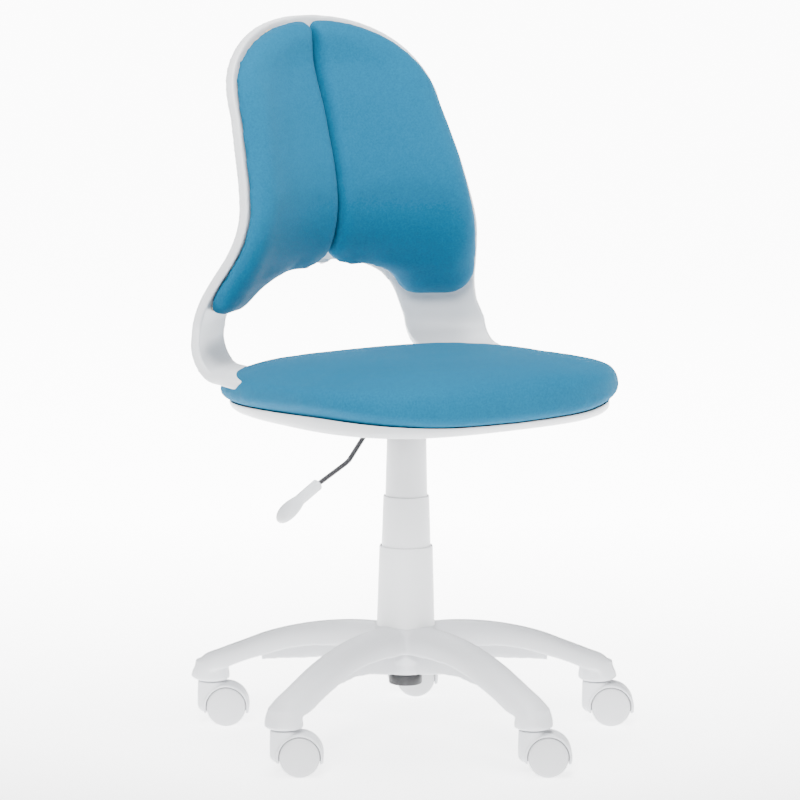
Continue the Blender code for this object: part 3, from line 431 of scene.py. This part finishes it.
def starBase():
    s = baseSet
    hub = [(0, s["hubTop"]), (0.0355, s["hubTop"]), (0.0375, 0.149), (0.0385, 0.1285), (0.0315, 0.1125),
           (0.0235, 0.101), (0.0225, s["hubLow"]), (0, s["hubLow"])]
    base = turned("starBase", hub, 64)
    turns = [Matrix.Rotation(-math.pi / 2 + math.tau * i / 5, 4, "Z") for i in range(5)]

    def arm():
        rings = []
        for k in range(24):
            r = s["stem"] * (0.10 + 0.87 * k / 23)
            rings.append([(r, y, z) for y, z in arch(armWidth(r), armSkirt(r), armTop(r))])
        low = s["bossLow"] + 0.003
        for share in (0.15, 0.35, 0.52, 0.67, 0.80, 0.90, 0.97, 0.995):
            half = armWidth(s["stem"]) * math.sqrt(1 - share**2)
            high = low + (s["tip"] - low) * (1 - share**1.8) ** 0.8
            r = s["stem"] + s["tipRadius"] * share
            rings.append([(r, y, z) for y, z in arch(max(half, 0.002), low, max(high, low + 0.002))])
        return loft("arm", rings)

    def boss():
        rim = s["bossRadius"]
        profile = [
            (0, s["tip"] - 0.008), (rim - 0.003, s["tip"] - 0.010), (rim, s["bossLow"] + 0.005),
            (rim - 0.0005, s["bossLow"] + 0.0015), (rim - 0.004, s["bossLow"]), (0, s["bossLow"]),
        ]
        piece = turned("boss", profile, 48)
        piece.data.transform(Matrix.Translation((s["stem"], 0, 0)))
        return piece

    def channel():
        rings = []
        start, end = 0.0275, s["stem"] - s["bossRadius"] + 0.002
        for k in range(14):
            r = start + (end - start) * k / 13
            half = armWidth(r) - s["wall"]
            roof = arch(half, armSkirt(r) - 0.001, armTop(r) - s["wall"])
            floor = s["bossLow"] - 0.02
            rings.append([(r, y, z) for y, z in [(-half, floor), *roof, (half, floor)]])
        return loft("channel", rings)

    def web():
        foot = [(0.08, 0.30), (0.15, 0.32), (0.31, 0.405), (0.43, 0.424), (0.53, 0.39), (0.64, 0.365),
                (0.74, 0.33)]
        lower = [(s["stem"] * a, s["bossLow"] + (s["hubTop"] - s["bossLow"]) * b) for a, b in foot]
        upper = [(r, armTop(r) - s["wall"] / 2) for r, _ in reversed(lower)]
        return loft("web", [[(x, side * s["webHalf"], z) for x, z in lower + upper] for side in (-1, 1)])

    for make, operation in ((arm, "UNION"), (boss, "UNION"), (channel, "DIFFERENCE"), (web, "UNION")):
        for turn in turns:
            piece = make()
            piece.data.transform(turn)
            joined(base, piece, operation)
    above, under = s["hubTop"] + 0.0195, s["hubLow"] - 0.029
    bore = [(0, above), (s["boreTop"], above), (s["boreTop"], s["hubTop"]), (s["boreFoot"], s["hubLow"]),
            (s["boreFoot"], under), (0, under)]
    joined(base, turned("bore", bore, 48), "DIFFERENCE")

    def nearHub(p):
        # 1 in the fillets between the arms and the hub
        r = math.hypot(p.x, p.y)
        above = min(max((p.z - 0.112) / 0.008, 0.0), 1.0)
        return above * min(max((0.100 - r) / 0.035, 0.0), 1.0) * min(max((r - 0.030) / 0.004, 0.0), 1.0)

    moulded(base, s["voxel"], s["passes"], s["keep"], nearHub, s["filletPasses"])
    base.data.transform(Matrix.Translation(columnAxis))
    return finish(base, "base", shadedWhiteBase, ["star_base"])


starBase()
print("star base made")


coverSet = {
    "wall": 0.0016, "flare": 0.0006, "lowerTop": 0.0322, "middleTop": 0.0277, "upperTop": 0.0236,
    "skirtDrop": 0.0035,
}


def coverSleeve(name, node, body, lowRadius, highRadius, low, high):
    w, f = coverSet["wall"], coverSet["flare"]
    profile = [
        (highRadius - w, high - 0.0008), (highRadius - 0.0012, high), (highRadius - 0.0004, high - 0.0002),
        (highRadius, high - 0.0012), (lowRadius, low + 0.006), (lowRadius + f, low + 0.004),
        (lowRadius + f, low + 0.0012), (lowRadius, low), (lowRadius - w, low),
        (highRadius - w - 0.0002, high - 0.003),
    ]
    piece = shaded(turned(name, profile, 96, True), 50)
    piece.data.transform(Matrix.Translation(columnFoot))
    return finish(piece, body, whiteCover, [node])


def coverBox(node):
    low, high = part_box(node)
    return low[2], high[2], (high[0] - low[0]) / 2


low, high, radius = coverBox("lower_cover")
low -= coverSet["skirtDrop"]
coverSleeve("lowerCover", "lower_cover", "base", radius, coverSet["lowerTop"], low, high)
low, high, radius = coverBox("middle_cover")
coverSleeve("middleCover", "middle_cover", "middle_cover", radius, coverSet["middleTop"], low, high)
low, high, radius = coverBox("upper_cover")
coverSleeve("upperCover", "upper_cover", "seat", radius, coverSet["upperTop"], low, high)
print("covers made")


def endCap():
    # a black cup with a shallow dish in its underside
    low, high, rim = coverBox("column_end_cap")
    floor, wall, dish = low + 0.0020, 0.0030, 0.0060
    profile = [
        (0, floor), (rim - wall, floor), (rim - wall, high), (rim - 0.0006, high), (rim, high - 0.0008),
        (rim, low + 0.0018), (rim - 0.0006, low + 0.0006), (rim - 0.0020, low), (dish, low),
        (dish - 0.0008, low + 0.0006), (0, low + 0.0006),
    ]
    cap = turned("columnEndCap", profile, 64)
    cap.data.transform(Matrix.Translation(columnFoot))
    finish(shaded(cap, 40), "base", blackMatte, ["column_end_cap"])


endCap()
print("end cap made")


casterSet = {
    "wheelRadius": 0.0240, "wheelWidth": 0.0160, "trail": 0.0180, "web": 0.0042, "skin": 0.0034,
    "halfWidth": 0.0186, "neckRadius": 0.0174, "neckTop": 0.0545, "lip": 0.0165, "gap": 0.0009,
    "sideGap": 0.0006, "bore": 0.0034, "voxel": 0.0009, "passes": 3, "keep": 0.5,
}


def barrel(name, radius, halfLength, x, z, edge=0.0012):
    # a drum lying along Y with eased rims
    nick = edge * 0.3
    half = [
        (0, halfLength), (radius - edge, halfLength), (radius - nick, halfLength - nick),
        (radius, halfLength - edge),
    ]
    piece = turned(name, half + [(r, -at) for r, at in reversed(half)], 64)
    piece.data.transform(Matrix.Translation((x, 0, z)) @ Matrix.Rotation(-math.pi / 2, 4, "X"))
    return piece


def hoodMesh():
    s = casterSet
    pocket = s["wheelRadius"] + s["gap"]
    hood = barrel("hood", pocket + s["skin"], s["halfWidth"], s["trail"], s["wheelRadius"], 0.0030)
    r, top = s["neckRadius"], s["neckTop"]
    profile = [
        (0, top), (r - 0.0012, top), (r - 0.0004, top - 0.0008), (r, 0.040), (r, 0.0235),
        (r - 0.0008, 0.0205), (r - 0.0035, 0.0172), (r - 0.008, 0.0150), (0, 0.0125),
    ]
    joined(hood, turned("neck", profile, 64))
    for side in (-1, 1):
        reach = 0.02
        drum = barrel("drum", pocket, reach, s["trail"], s["wheelRadius"], 0.0002)
        drum.data.transform(Matrix.Translation((0, side * (s["web"] / 2 + reach), 0)))
        joined(hood, drum, "DIFFERENCE")
    square = [(-0.1, -0.1), (0.1, -0.1), (0.1, 0.1), (-0.1, 0.1)]
    below = loft("below", [[(x, y, z) for x, y in square] for z in (-0.1, s["lip"])])
    joined(hood, below, "DIFFERENCE")
    moulded(hood, s["voxel"], s["passes"], s["keep"])
    return hood


def wheelMesh():
    s = casterSet
    r, w = s["wheelRadius"], s["wheelWidth"]
    profile = [
        (0, w + 0.0002), (r * 0.5, w + 0.0001), (r - 0.0030, w - 0.0001), (r - 0.0012, w - 0.0005),
        (r - 0.0003, w - 0.0014), (r, w - 0.0030), (r, 0.0030), (r - 0.0004, 0.0012), (r - 0.0016, 0.0),
        (s["bore"], 0.0), (s["bore"], w - 0.004), (0, w - 0.004),
    ]
    return shaded(turned("wheel", profile, 80), 40)


def casters():
    hoodForm, wheelForm = hoodMesh(), wheelMesh()
    for n in range(1, 6):
        sx, sy, _ = joints[f"caster_swivel_{n}"]["pos_m"]
        ax, ay, _ = joints[f"wheel_roll_{n}_a"]["axis"]
        heading = Matrix.Translation((sx, sy, 0)) @ Matrix.Rotation(math.atan2(-ax, ay), 4, "Z")
        hood = link(bpy.data.objects.new(f"casterHood{n}", hoodForm.data.copy()))
        hood.matrix_world = heading
        finish(hood, f"caster_{n}", shadedWhiteBase, [f"caster_hood_{n}"])
        for letter, side in (("a", 1), ("b", -1)):
            wheel = link(bpy.data.objects.new(f"casterWheel{n}{letter}", wheelForm.data.copy()))
            inner = side * (casterSet["web"] / 2 + casterSet["sideGap"])
            seat = Matrix.Translation((casterSet["trail"], inner, casterSet["wheelRadius"]))
            wheel.matrix_world = heading @ seat @ Matrix.Rotation(-side * math.pi / 2, 4, "X")
            finish(wheel, f"wheel_{n}_{letter}", shadedWheelWhite, [f"caster_wheel_{n}_{letter}"])
    bpy.data.objects.remove(hoodForm)
    bpy.data.objects.remove(wheelForm)


casters()
print("casters made")


clothSet = {"frames": 20, "quality": 5, "mass": 0.3, "stretch": 15, "bend": 0.8, "pressure": 4.0}


def puffed(obj, voxel, cap, held):
    # swells a closed form like a stuffed cover; held(point) is 1 where it is fixed
    remesh = obj.modifiers.new("skin", "REMESH")
    remesh.mode = "VOXEL"
    remesh.voxel_size = voxel
    settled(obj)
    before = np.empty(len(obj.data.vertices) * 3, np.float32)
    obj.data.vertices.foreach_get("co", before)
    pins = obj.vertex_groups.new(name="pins")
    for vertex in obj.data.vertices:
        pins.add([vertex.index], held(vertex.co), "REPLACE")
    cloth = obj.modifiers.new("cloth", "CLOTH")
    cloth.settings.quality = clothSet["quality"]
    cloth.settings.mass = clothSet["mass"]
    cloth.settings.tension_stiffness = clothSet["stretch"]
    cloth.settings.compression_stiffness = clothSet["stretch"]
    cloth.settings.bending_stiffness = clothSet["bend"]
    cloth.settings.use_pressure = True
    cloth.settings.uniform_pressure_force = clothSet["pressure"]
    cloth.settings.effector_weights.gravity = 0
    cloth.settings.vertex_group_mass = "pins"
    cloth.point_cache.frame_start = 1
    cloth.point_cache.frame_end = clothSet["frames"]
    for step in range(1, clothSet["frames"] + 1):
        bpy.context.scene.frame_set(step)
    settled(obj)
    bpy.context.scene.frame_set(1)
    after = np.empty_like(before)
    obj.data.vertices.foreach_get("co", after)
    moved = (after - before).reshape(-1, 3)
    length = np.linalg.norm(moved, axis=1, keepdims=True)
    moved *= np.minimum(1.0, cap / np.maximum(length, 1e-9))
    print("  swelled by up to", round(float(length.max()) * 1000, 1), "mm")
    obj.data.vertices.foreach_set("co", (before.reshape(-1, 3) + moved).ravel())
    obj.data.update()
    return obj


def evened(obj, passes):
    smooth = obj.modifiers.new("even", "SMOOTH")
    smooth.factor = 0.5
    smooth.iterations = passes
    finer = obj.modifiers.new("finer", "SUBSURF")
    finer.levels = finer.render_levels = 1
    settled(obj)
    obj.data.shade_smooth()
    return obj


seatSet = {
    "halfX": 0.222, "halfY": 0.205, "centreY": -0.025, "power": 3.0, "seam": 0.4240 + datumRise,
    "height": 0.055, "sideRise": 0.0170, "tilt": 0.055, "under": 0.895, "sides": 0.966, "inward": 0.004,
    "held": 0.012, "voxel": 0.0050, "cap": 0.0015, "passes": 8, "rim": 0.945, "wall": 0.003,
    "shellLow": 0.4095 + datumRise,
}


def seamWave(x, y):
    # the seam climbs at the sides: a share of the rise by angle, 0 at the front and 180 at the back
    turn = math.degrees(math.atan2(abs(x) / seatSet["halfX"], -y / seatSet["halfY"]))
    climb = [(0, 0.0), (25, 0.16), (40, 0.50), (55, 0.86), (68, 1.0), (90, 0.70), (115, 0.38), (140, 0.14),
             (180, 0.05)]
    return seatSet["sideRise"] * eased(climb, turn)


def seatRing(scale, z, wave=0.0, tilt=0.0, count=120):
    ring = []
    for x, y in superellipse(seatSet["halfX"], seatSet["halfY"], seatSet["power"], count):
        lift = wave * seamWave(x, y) - tilt * seatSet["tilt"] * y * scale
        ring.append((axisX + x * scale, axisY + seatSet["centreY"] + y * scale, z + lift))
    return ring


def seatCushion():
    s = seatSet
    # scale of the outline and share of the cushion's height, from the seam up and over
    form = [
        (0.895, -0.004), (0.940, -0.002), (0.966, 0.0), (0.983, 0.06), (0.995, 0.13), (1.0, 0.21),
        (0.9995, 0.31), (0.995, 0.42), (0.984, 0.53), (0.966, 0.63), (0.938, 0.72), (0.900, 0.80),
        (0.845, 0.87), (0.76, 0.935), (0.65, 0.972), (0.50, 0.992), (0.32, 1.0), (0.15, 1.003),
    ]
    rings = []
    for scale, share in form:
        wave = min(1.0, (scale - s["under"]) / (s["sides"] - s["under"])) * (1 - share)
        rings.append(seatRing(scale - s["inward"], s["seam"] + s["height"] * share, wave, max(share, 0.0)))
    cushion = loft("seatCushion", rings)

    def held(p):
        wave = seamWave(p.x - axisX, p.y - axisY - s["centreY"])
        return 1.0 if p.z < s["seam"] + s["held"] + wave else 0.0

    puffed(cushion, s["voxel"], s["cap"], held)
    evened(cushion, s["passes"])
    finish(cushion, "seat", skyFabric, ["seat_cushion"])


def seatShell():
    rim, seam, low, wall = seatSet["rim"], seatSet["seam"], seatSet["shellLow"], seatSet["wall"]
    outside = [
        (0.20, low), (0.60, low), (rim - 0.200, low + 0.0002), (rim - 0.130, low + 0.0010),
        (rim - 0.085, low + 0.0022), (rim - 0.050, low + 0.0038), (rim - 0.024, low + 0.0062),
        (rim - 0.008, low + 0.0092), (rim, low + 0.0124),
    ]
    lip = [
        (rim + 0.0005, seam - 0.0012, 0.53), (rim - 0.0015, seam - 0.0006, 0.54),
        (rim - 0.006, seam - 0.0005, 0.48), (rim - 0.016, seam - 0.0008, 0.33),
    ]
    inside = [
        (rim - 0.020, low + 0.0122), (rim - 0.034, low + 0.0096), (rim - 0.068, low + 0.0062),
        (rim - 0.135, low + 0.0038), (0.45, low + wall), (0.20, low + wall),
    ]
    shell = loft("seatShell", [seatRing(*ring) for ring in outside + lip + inside])
    finish(shaded(shell, 40), "seat", shadedWhiteShell, ["seat_shell"])


seatCushion()
seatShell()
print("seat made")


backSet = {
    "top": 0.871, "shoulder": 0.760, "halfWidth": 0.1552, "power": 2.2, "wrap": 2.1, "thickness": 0.0112,
    "archTop": 0.5745, "archFoot": 0.465, "archPower": 2.6, "footHalf": 0.2195, "leg": 0.080,
    "bend": 0.497, "entry": 0.4550, "columns": 14, "voxel": 0.0020, "passes": 7, "keep": 0.7,
}
padSet = {
    "edge": 0.0006, "topEdge": 0.0052, "archGap": 0.0125, "lobeDrop": 0.0465, "gap": 0.0010,
    "thickness": 0.0275, "softEdge": 0.030, "splitHalf": 0.0010, "hem": 0.005, "dome": 2.3,
    "splitSteepness": 2.2, "topRound": (0.014, 0.011), "splitRound": (0.012, 0.012),
    "archRound": (0.018, 0.020), "lobeRound": (0.034, 0.030), "held": 0.0115, "heldDepth": 0.0075,
    "voxel": 0.0045, "cap": 0.0012, "passes": 8,
}


def backDepth(z):
    # how far behind the column the middle of the shell lies, by height
    top = backSet["top"]
    curve = [
        (backSet["bend"], 0.2320), (0.515, 0.2315), (0.540, 0.2215), (0.566, 0.2020), (0.593, 0.1795),
        (0.618, 0.1650), (0.645, 0.1597), (0.680, 0.1650), (0.715, 0.1755), (top - 0.111, 0.1905),
        (top - 0.066, 0.2085), (top - 0.031, 0.2140), (top, 0.2155),
    ]
    return eased(curve, z)


def backWidth(z):
    s = backSet
    if z > s["shoulder"]:
        share = min((z - s["shoulder"]) / (s["top"] - s["shoulder"]), 1.0)
        return s["halfWidth"] * (1 - share ** s["power"]) ** (1 / s["power"])
    flare = [
        (0.48, 1.0), (0.52, 0.866), (0.56, 0.693), (0.60, 0.472), (0.65, 0.26), (0.71, 0.126), (0.76, 0.0),
    ]
    share = eased(flare, z)
    return s["halfWidth"] + (s["footHalf"] - s["halfWidth"]) * share


def archHalf(z, drop=0.0):
    s = backSet
    above = min(max((z - drop - s["archFoot"]) / (s["archTop"] - s["archFoot"]), 0.0), 1.0)
    return (s["footHalf"] - s["leg"]) * (1 - above ** s["archPower"]) ** (1 / s["archPower"])


def onBack(x, z, height):
    # a point this high above the front face of the shell
    slope = (backDepth(z + 0.001) - backDepth(z - 0.001)) / 0.002
    normal = Vector((-2 * backSet["wrap"] * x, -1.0, slope)).normalized()
    middle = Vector((x, backDepth(z) - backSet["wrap"] * x * x, z))
    return middle + normal * (backSet["thickness"] / 2 + height)


def shellRows():
    # (depth, height, inner half width, outer half width), from the crown down into the feet
    s = backSet
    rows = []
    for k in range(13):
        a = math.radians(84 * (1 - k / 12))
        z = s["shoulder"] + (s["top"] - s["shoulder"]) * math.sin(a) ** (2 / s["power"])
        rows.append((backDepth(z), z, 0.0, backWidth(z)))
    for k in range(1, 21):
        z = s["shoulder"] + (s["archTop"] - s["shoulder"]) * k / 20
        rows.append((backDepth(z), z, 0.0, backWidth(z)))
    for a in (84, 78, 72, 66, 60, 54, 48, 42, 36, 30, 25, 20):
        z = s["archFoot"] + (s["archTop"] - s["archFoot"]) * math.sin(math.radians(a)) ** (2 / s["archPower"])
        rows.append((backDepth(z), z, archHalf(z), backWidth(z)))
    outer, inner = s["footHalf"], s["footHalf"] - s["leg"]
    radius, behind = s["bend"] - s["entry"], backDepth(s["bend"])
    for a in (8, 22, 36, 50, 64, 78, 88):
        t = math.radians(a)
        rows.append((behind - radius * (1 - math.cos(t)), s["bend"] - radius * math.sin(t), inner, outer))
    # the feet run forward under the cushion and taper
    taper = [
        (0.012, 0.0, 0, 0), (0.024, 0.001, 0, 0.001), (0.036, 0.0020, 0, 0.004),
        (0.048, 0.0030, 0.001, 0.009), (0.062, 0.005, 0.002, 0.016), (0.085, 0.0088, 0.004, 0.023),
    ]
    for ahead, drop, inward, outward in taper:
        rows.append((behind - radius - ahead, s["entry"] - drop, inner + inward, outer - outward))
    return rows


def backShell():
    s = backSet
    columns, half = s["columns"], s["halfWidth"]
    vertices, index = [], []
    for number, (y, z, inside, outside) in enumerate(shellRows()):
        row = {}
        for i in range(-columns, columns + 1):
            if inside > 0 and i == 0:
                continue
            share = abs(i) / columns if inside == 0 else (abs(i) - 1) / (columns - 1)
            x = inside + (outside - inside) * share
            height = z
            if number == 0:
                crown = (1 - (x / half) ** s["power"]) ** (1 / s["power"])
                height = s["shoulder"] + (s["top"] - s["shoulder"]) * crown
            row[i] = len(vertices)
            vertices.append((math.copysign(x, i) if i else 0.0, y - s["wrap"] * x * x, height))
        index.append(row)
    faces = []
    for upper, lower in zip(index, index[1:]):
        for i in range(-columns, columns):
            if 0 in lower or i not in (-1, 0):
                faces.append((upper[i], lower[i], lower[i + 1], upper[i + 1]))
            elif 0 in upper:
                side = -1 if i == -1 else 1
                faces.append((upper[0], upper[side], lower[side]))
    sheet = meshObject("backShell", vertices, faces)
    thick = sheet.modifiers.new("thick", "SOLIDIFY")
    thick.thickness = s["thickness"]
    thick.offset = 0
    thick.use_even_offset = True
    settled(sheet)
    facesOut(sheet)
    moulded(sheet, s["voxel"], s["passes"], s["keep"])
    sheet.data.transform(Matrix.Translation(columnAxis))
    return finish(sheet, "seat", shadedWhiteShell, ["back_frame"])


def rounding(distance, radius, reach):
    # how far a rounded corner pulls the edge in, this far from the corner's end
    if distance >= radius:
        return 0.0
    return reach * (1 - math.sqrt(1 - (1 - max(distance, 0.0) / radius) ** 2))


def padHeights():
    top, bottom = backSet["top"] - padSet["topEdge"], backSet["archTop"] - padSet["lobeDrop"]
    return top, bottom, backSet["archTop"] + padSet["archGap"]


def padSpan(z):
    s = backSet
    top, bottom, splitFoot = padHeights()
    if z > s["shoulder"]:
        share = min((z - s["shoulder"]) / (top - s["shoulder"]), 1.0)
        outer = (s["halfWidth"] - padSet["edge"]) * (1 - share ** s["power"]) ** (1 / s["power"])
    else:
        outer = backWidth(z) - padSet["edge"]
    inner = max(archHalf(z, padSet["archGap"]), padSet["splitHalf"])
    inner += rounding(top - z, *padSet["topRound"])
    if z >= splitFoot:
        inner += rounding(z - splitFoot, *padSet["splitRound"])
    inner += rounding(z - bottom, *padSet["archRound"])
    outer -= rounding(z - bottom, *padSet["lobeRound"])
    return inner, outer


def padRows():
    s = backSet
    top, bottom, splitFoot = padHeights()
    heights = []
    for a in (84, 79, 74, 68, 61, 53, 44, 34, 23, 11):
        heights.append(s["shoulder"] + (top - s["shoulder"]) * math.sin(math.radians(a)) ** (2 / s["power"]))
    heights += [splitFoot + (s["shoulder"] - splitFoot) * (1 - k / 22) for k in range(23)]
    for share in (0.93, 0.85, 0.76, 0.66, 0.56, 0.46, 0.36, 0.27, 0.18, 0.1, 0.04, 0.0):
        heights.append(bottom + (splitFoot - bottom) * share)
    shares = [0.5 - 0.5 * math.cos(math.pi * k / 18) for k in range(19)]
    grid = []
    for z in heights:
        inner, outer = padSpan(z)
        grid.append([(inner + (outer - inner) * share, z) for share in shares])
    return grid


def padForm(name):
    # a flat back on the shell, and a front that rises from the hem to a dome
    grid = padRows()
    splitFoot = padHeights()[2]
    rows, columns = len(grid), len(grid[0])
    border = [(x, z, 1.0) for row in (grid[0], grid[-1]) for x, z in row]
    border += [(*row[-1], 1.0) for row in grid]
    border += [(*row[0], padSet["splitSteepness"] if row[0][1] > splitFoot else 1.0) for row in grid]
    border = np.array(border)
    hem = padSet["gap"] + padSet["hem"]
    vertices = []
    for row in grid:
        for x, z in row:
            away = float(np.min(np.hypot(border[:, 0] - x, border[:, 1] - z) * border[:, 2]))
            partWay = 1 - min(away / padSet["softEdge"], 1.0)
            dome = (1 - partWay ** padSet["dome"]) ** (1 / padSet["dome"])
            vertices.append(onBack(x, z, hem + (padSet["thickness"] - hem) * dome))
    vertices += [onBack(x, z, padSet["gap"]) for row in grid for x, z in row]
    below = rows * columns
    faces = []
    for r in range(rows - 1):
        for c in range(columns - 1):
            a = r * columns + c
            faces.append((a, a + columns, a + columns + 1, a + 1))
            faces.append((below + a, below + a + 1, below + a + columns + 1, below + a + columns))
    rim = list(range(columns))
    rim += [r * columns + columns - 1 for r in range(1, rows)]
    rim += [(rows - 1) * columns + c for c in range(columns - 2, -1, -1)]
    rim += [r * columns for r in range(rows - 2, 0, -1)]
    for a, b in zip(rim, rim[1:] + rim[:1]):
        faces.append((a, b, below + b, below + a))
    return facesOut(meshObject(name, vertices, faces))


def backPads():
    pad = padForm("backPadLeft")

    def held(p):
        front = onBack(p.x, p.z, 0)
        near = (p - front).length < padSet["held"]
        return 1.0 if near and p.y > front.y - padSet["heldDepth"] else 0.0

    puffed(pad, padSet["voxel"], padSet["cap"], held)
    evened(pad, padSet["passes"])
    twin = link(bpy.data.objects.new("backPadRight", pad.data.copy()))
    twin.data.transform(Matrix.Scale(-1, 4, (1, 0, 0)))
    twin.data.flip_normals()
    for piece, node in ((pad, "back_pad_left"), (twin, "back_pad_right")):
        piece.data.transform(Matrix.Translation(columnAxis))
        finish(piece, "seat", skyFabric, [node])


backShell()
print("back shell made")
backPads()
print("back pads made")


leverSet = {"start": (-0.131, 0.334), "end": (-0.147, 0.3243), "grip": 0.0070, "blade": 0.0145}


def leverHandle():
    s = leverSet
    start = Vector((s["start"][0], 0, s["start"][1]))
    along = (Vector((s["end"][0], 0, s["end"][1])) - start).normalized()
    up = Vector((0, 1, 0)).cross(along)
    # distance along the handle, half width and half height there
    sections = [
        (0.0, 0.0036, 0.0036), (0.0004, 0.0062, 0.0062), (0.0016, 0.0072, 0.0072),
        (0.004, s["grip"], s["grip"]), (0.028, s["grip"], s["grip"]), (0.031, 0.0074, 0.0066),
        (0.034, 0.0090, 0.0064), (0.039, 0.0118, 0.0070), (0.045, s["blade"] - 0.0008, 0.0078),
        (0.052, s["blade"], 0.0082), (0.059, s["blade"] - 0.0010, 0.0078), (0.065, 0.0108, 0.0062),
        (0.0692, 0.0066, 0.0038), (0.0705, 0.0020, 0.0014),
    ]
    rings = []
    for distance, across, tall in sections:
        centre = start + along * distance - up * 0.004 * max(0.0, (distance - 0.03) / 0.04) ** 2
        ring = []
        for i in range(40):
            a = math.tau * i / 40
            ring.append(centre + Vector((0, across * math.cos(a), 0)) + up * tall * math.sin(a))
        rings.append(ring)
    handle = loft("leverHandle", rings)
    finer = handle.modifiers.new("finer", "SUBSURF")
    finer.levels = finer.render_levels = 1
    settled(handle)
    handle.data.transform(Matrix.Translation(columnAxis))
    finish(shaded(handle, 50), "lever", shadedWhiteShell, ["lever_paddle"])


leverHandle()
print("lever made")


stageSet = {
    "half": 40, "drop": 0.0004, "sweep": (0.605, 0.797, 0.0), "glowStart": -0.70, "glowEnd": 1.5,
    "glow": 11.0, "world": 0.30,
}


def stage():
    # a pale floor that glows, brighter behind the chair: painted light standing in for a lit studio sweep,
    # and its glow lights the chair too
    half, low = stageSet["half"], -stageSet["drop"]
    corners = [(-half, -half, low), (half, -half, low), (half, half, low), (-half, half, low)]
    floor = meshObject("floor", corners, [(0, 1, 2, 3)])
    look = Look("paleFloor", Roughness=0.9, Specular_IOR_Level=0.1)
    tone = look.mix(look.noise(3.0, 2.0).between(0.3, 0.7), (0.93, 0.93, 0.93), (0.95, 0.95, 0.95))
    along = {0: look.place, 1: stageSet["sweep"]}
    depth = look.node("ShaderNodeVectorMath", {"operation": "DOT_PRODUCT"}, along, 1)
    glow = depth.between(stageSet["glowStart"], stageSet["glowEnd"])
    # the floor glows though it is no lamp: painted light
    look.shader.inputs["Emission Strength"].default_value = stageSet["glow"]
    paintedGlowColour = look.mix(glow, (0.05, 0.05, 0.05), (1.0, 1.0, 1.0))
    floor.data.materials.append(look.feed(Base_Color=tone, Emission_Color=paintedGlowColour))
    world = bpy.data.worlds.new("studio")
    bpy.context.scene.world = world
    world.use_nodes = True
    sky = world.node_tree.nodes["Background"]
    sky.inputs[0].default_value = (1, 1, 1, 1)
    sky.inputs[1].default_value = stageSet["world"]


def softLight(name, place, target, size, power):
    data = bpy.data.lights.new(name, "AREA")
    data.size = size
    data.energy = power
    lamp = link(bpy.data.objects.new(name, data))
    lamp.location = place
    lamp.rotation_euler = (Vector(target) - Vector(place)).to_track_quat("-Z", "Y").to_euler()


viewSet = {
    "azimuth": 37.2, "place": (-3.634, -4.787, 1.3612), "pitch": 0.1549, "yaw": -0.0013, "roll": 0.0048,
    "lens": 227.9,
}


def camera():
    data = bpy.data.cameras.new("studioCamera")
    data.lens = viewSet["lens"]
    data.sensor_width = 36
    data.clip_end = 200
    eye = link(bpy.data.objects.new("studioCamera", data))
    turn = Matrix.Rotation(-math.radians(viewSet["azimuth"]) - viewSet["yaw"], 4, "Z")
    tilt = Matrix.Rotation(math.pi / 2 - viewSet["pitch"], 4, "X")
    level = Matrix.Rotation(viewSet["roll"], 4, "Z")
    eye.matrix_world = Matrix.Translation(columnAxis + Vector(viewSet["place"])) @ turn @ tilt @ level
    bpy.context.scene.camera = eye


stage()
softLight("keyLight", (-2.5, -2.6, 2.7), (0, 0, 0.45), 1.3, 235)
softLight("topLight", (-0.3, -0.4, 3.1), (0, 0, 0.45), 1.3, 150)
softLight("rimLight", (1.6, 2.8, 2.4), (0, 0, 0.5), 1.8, 60)
camera()
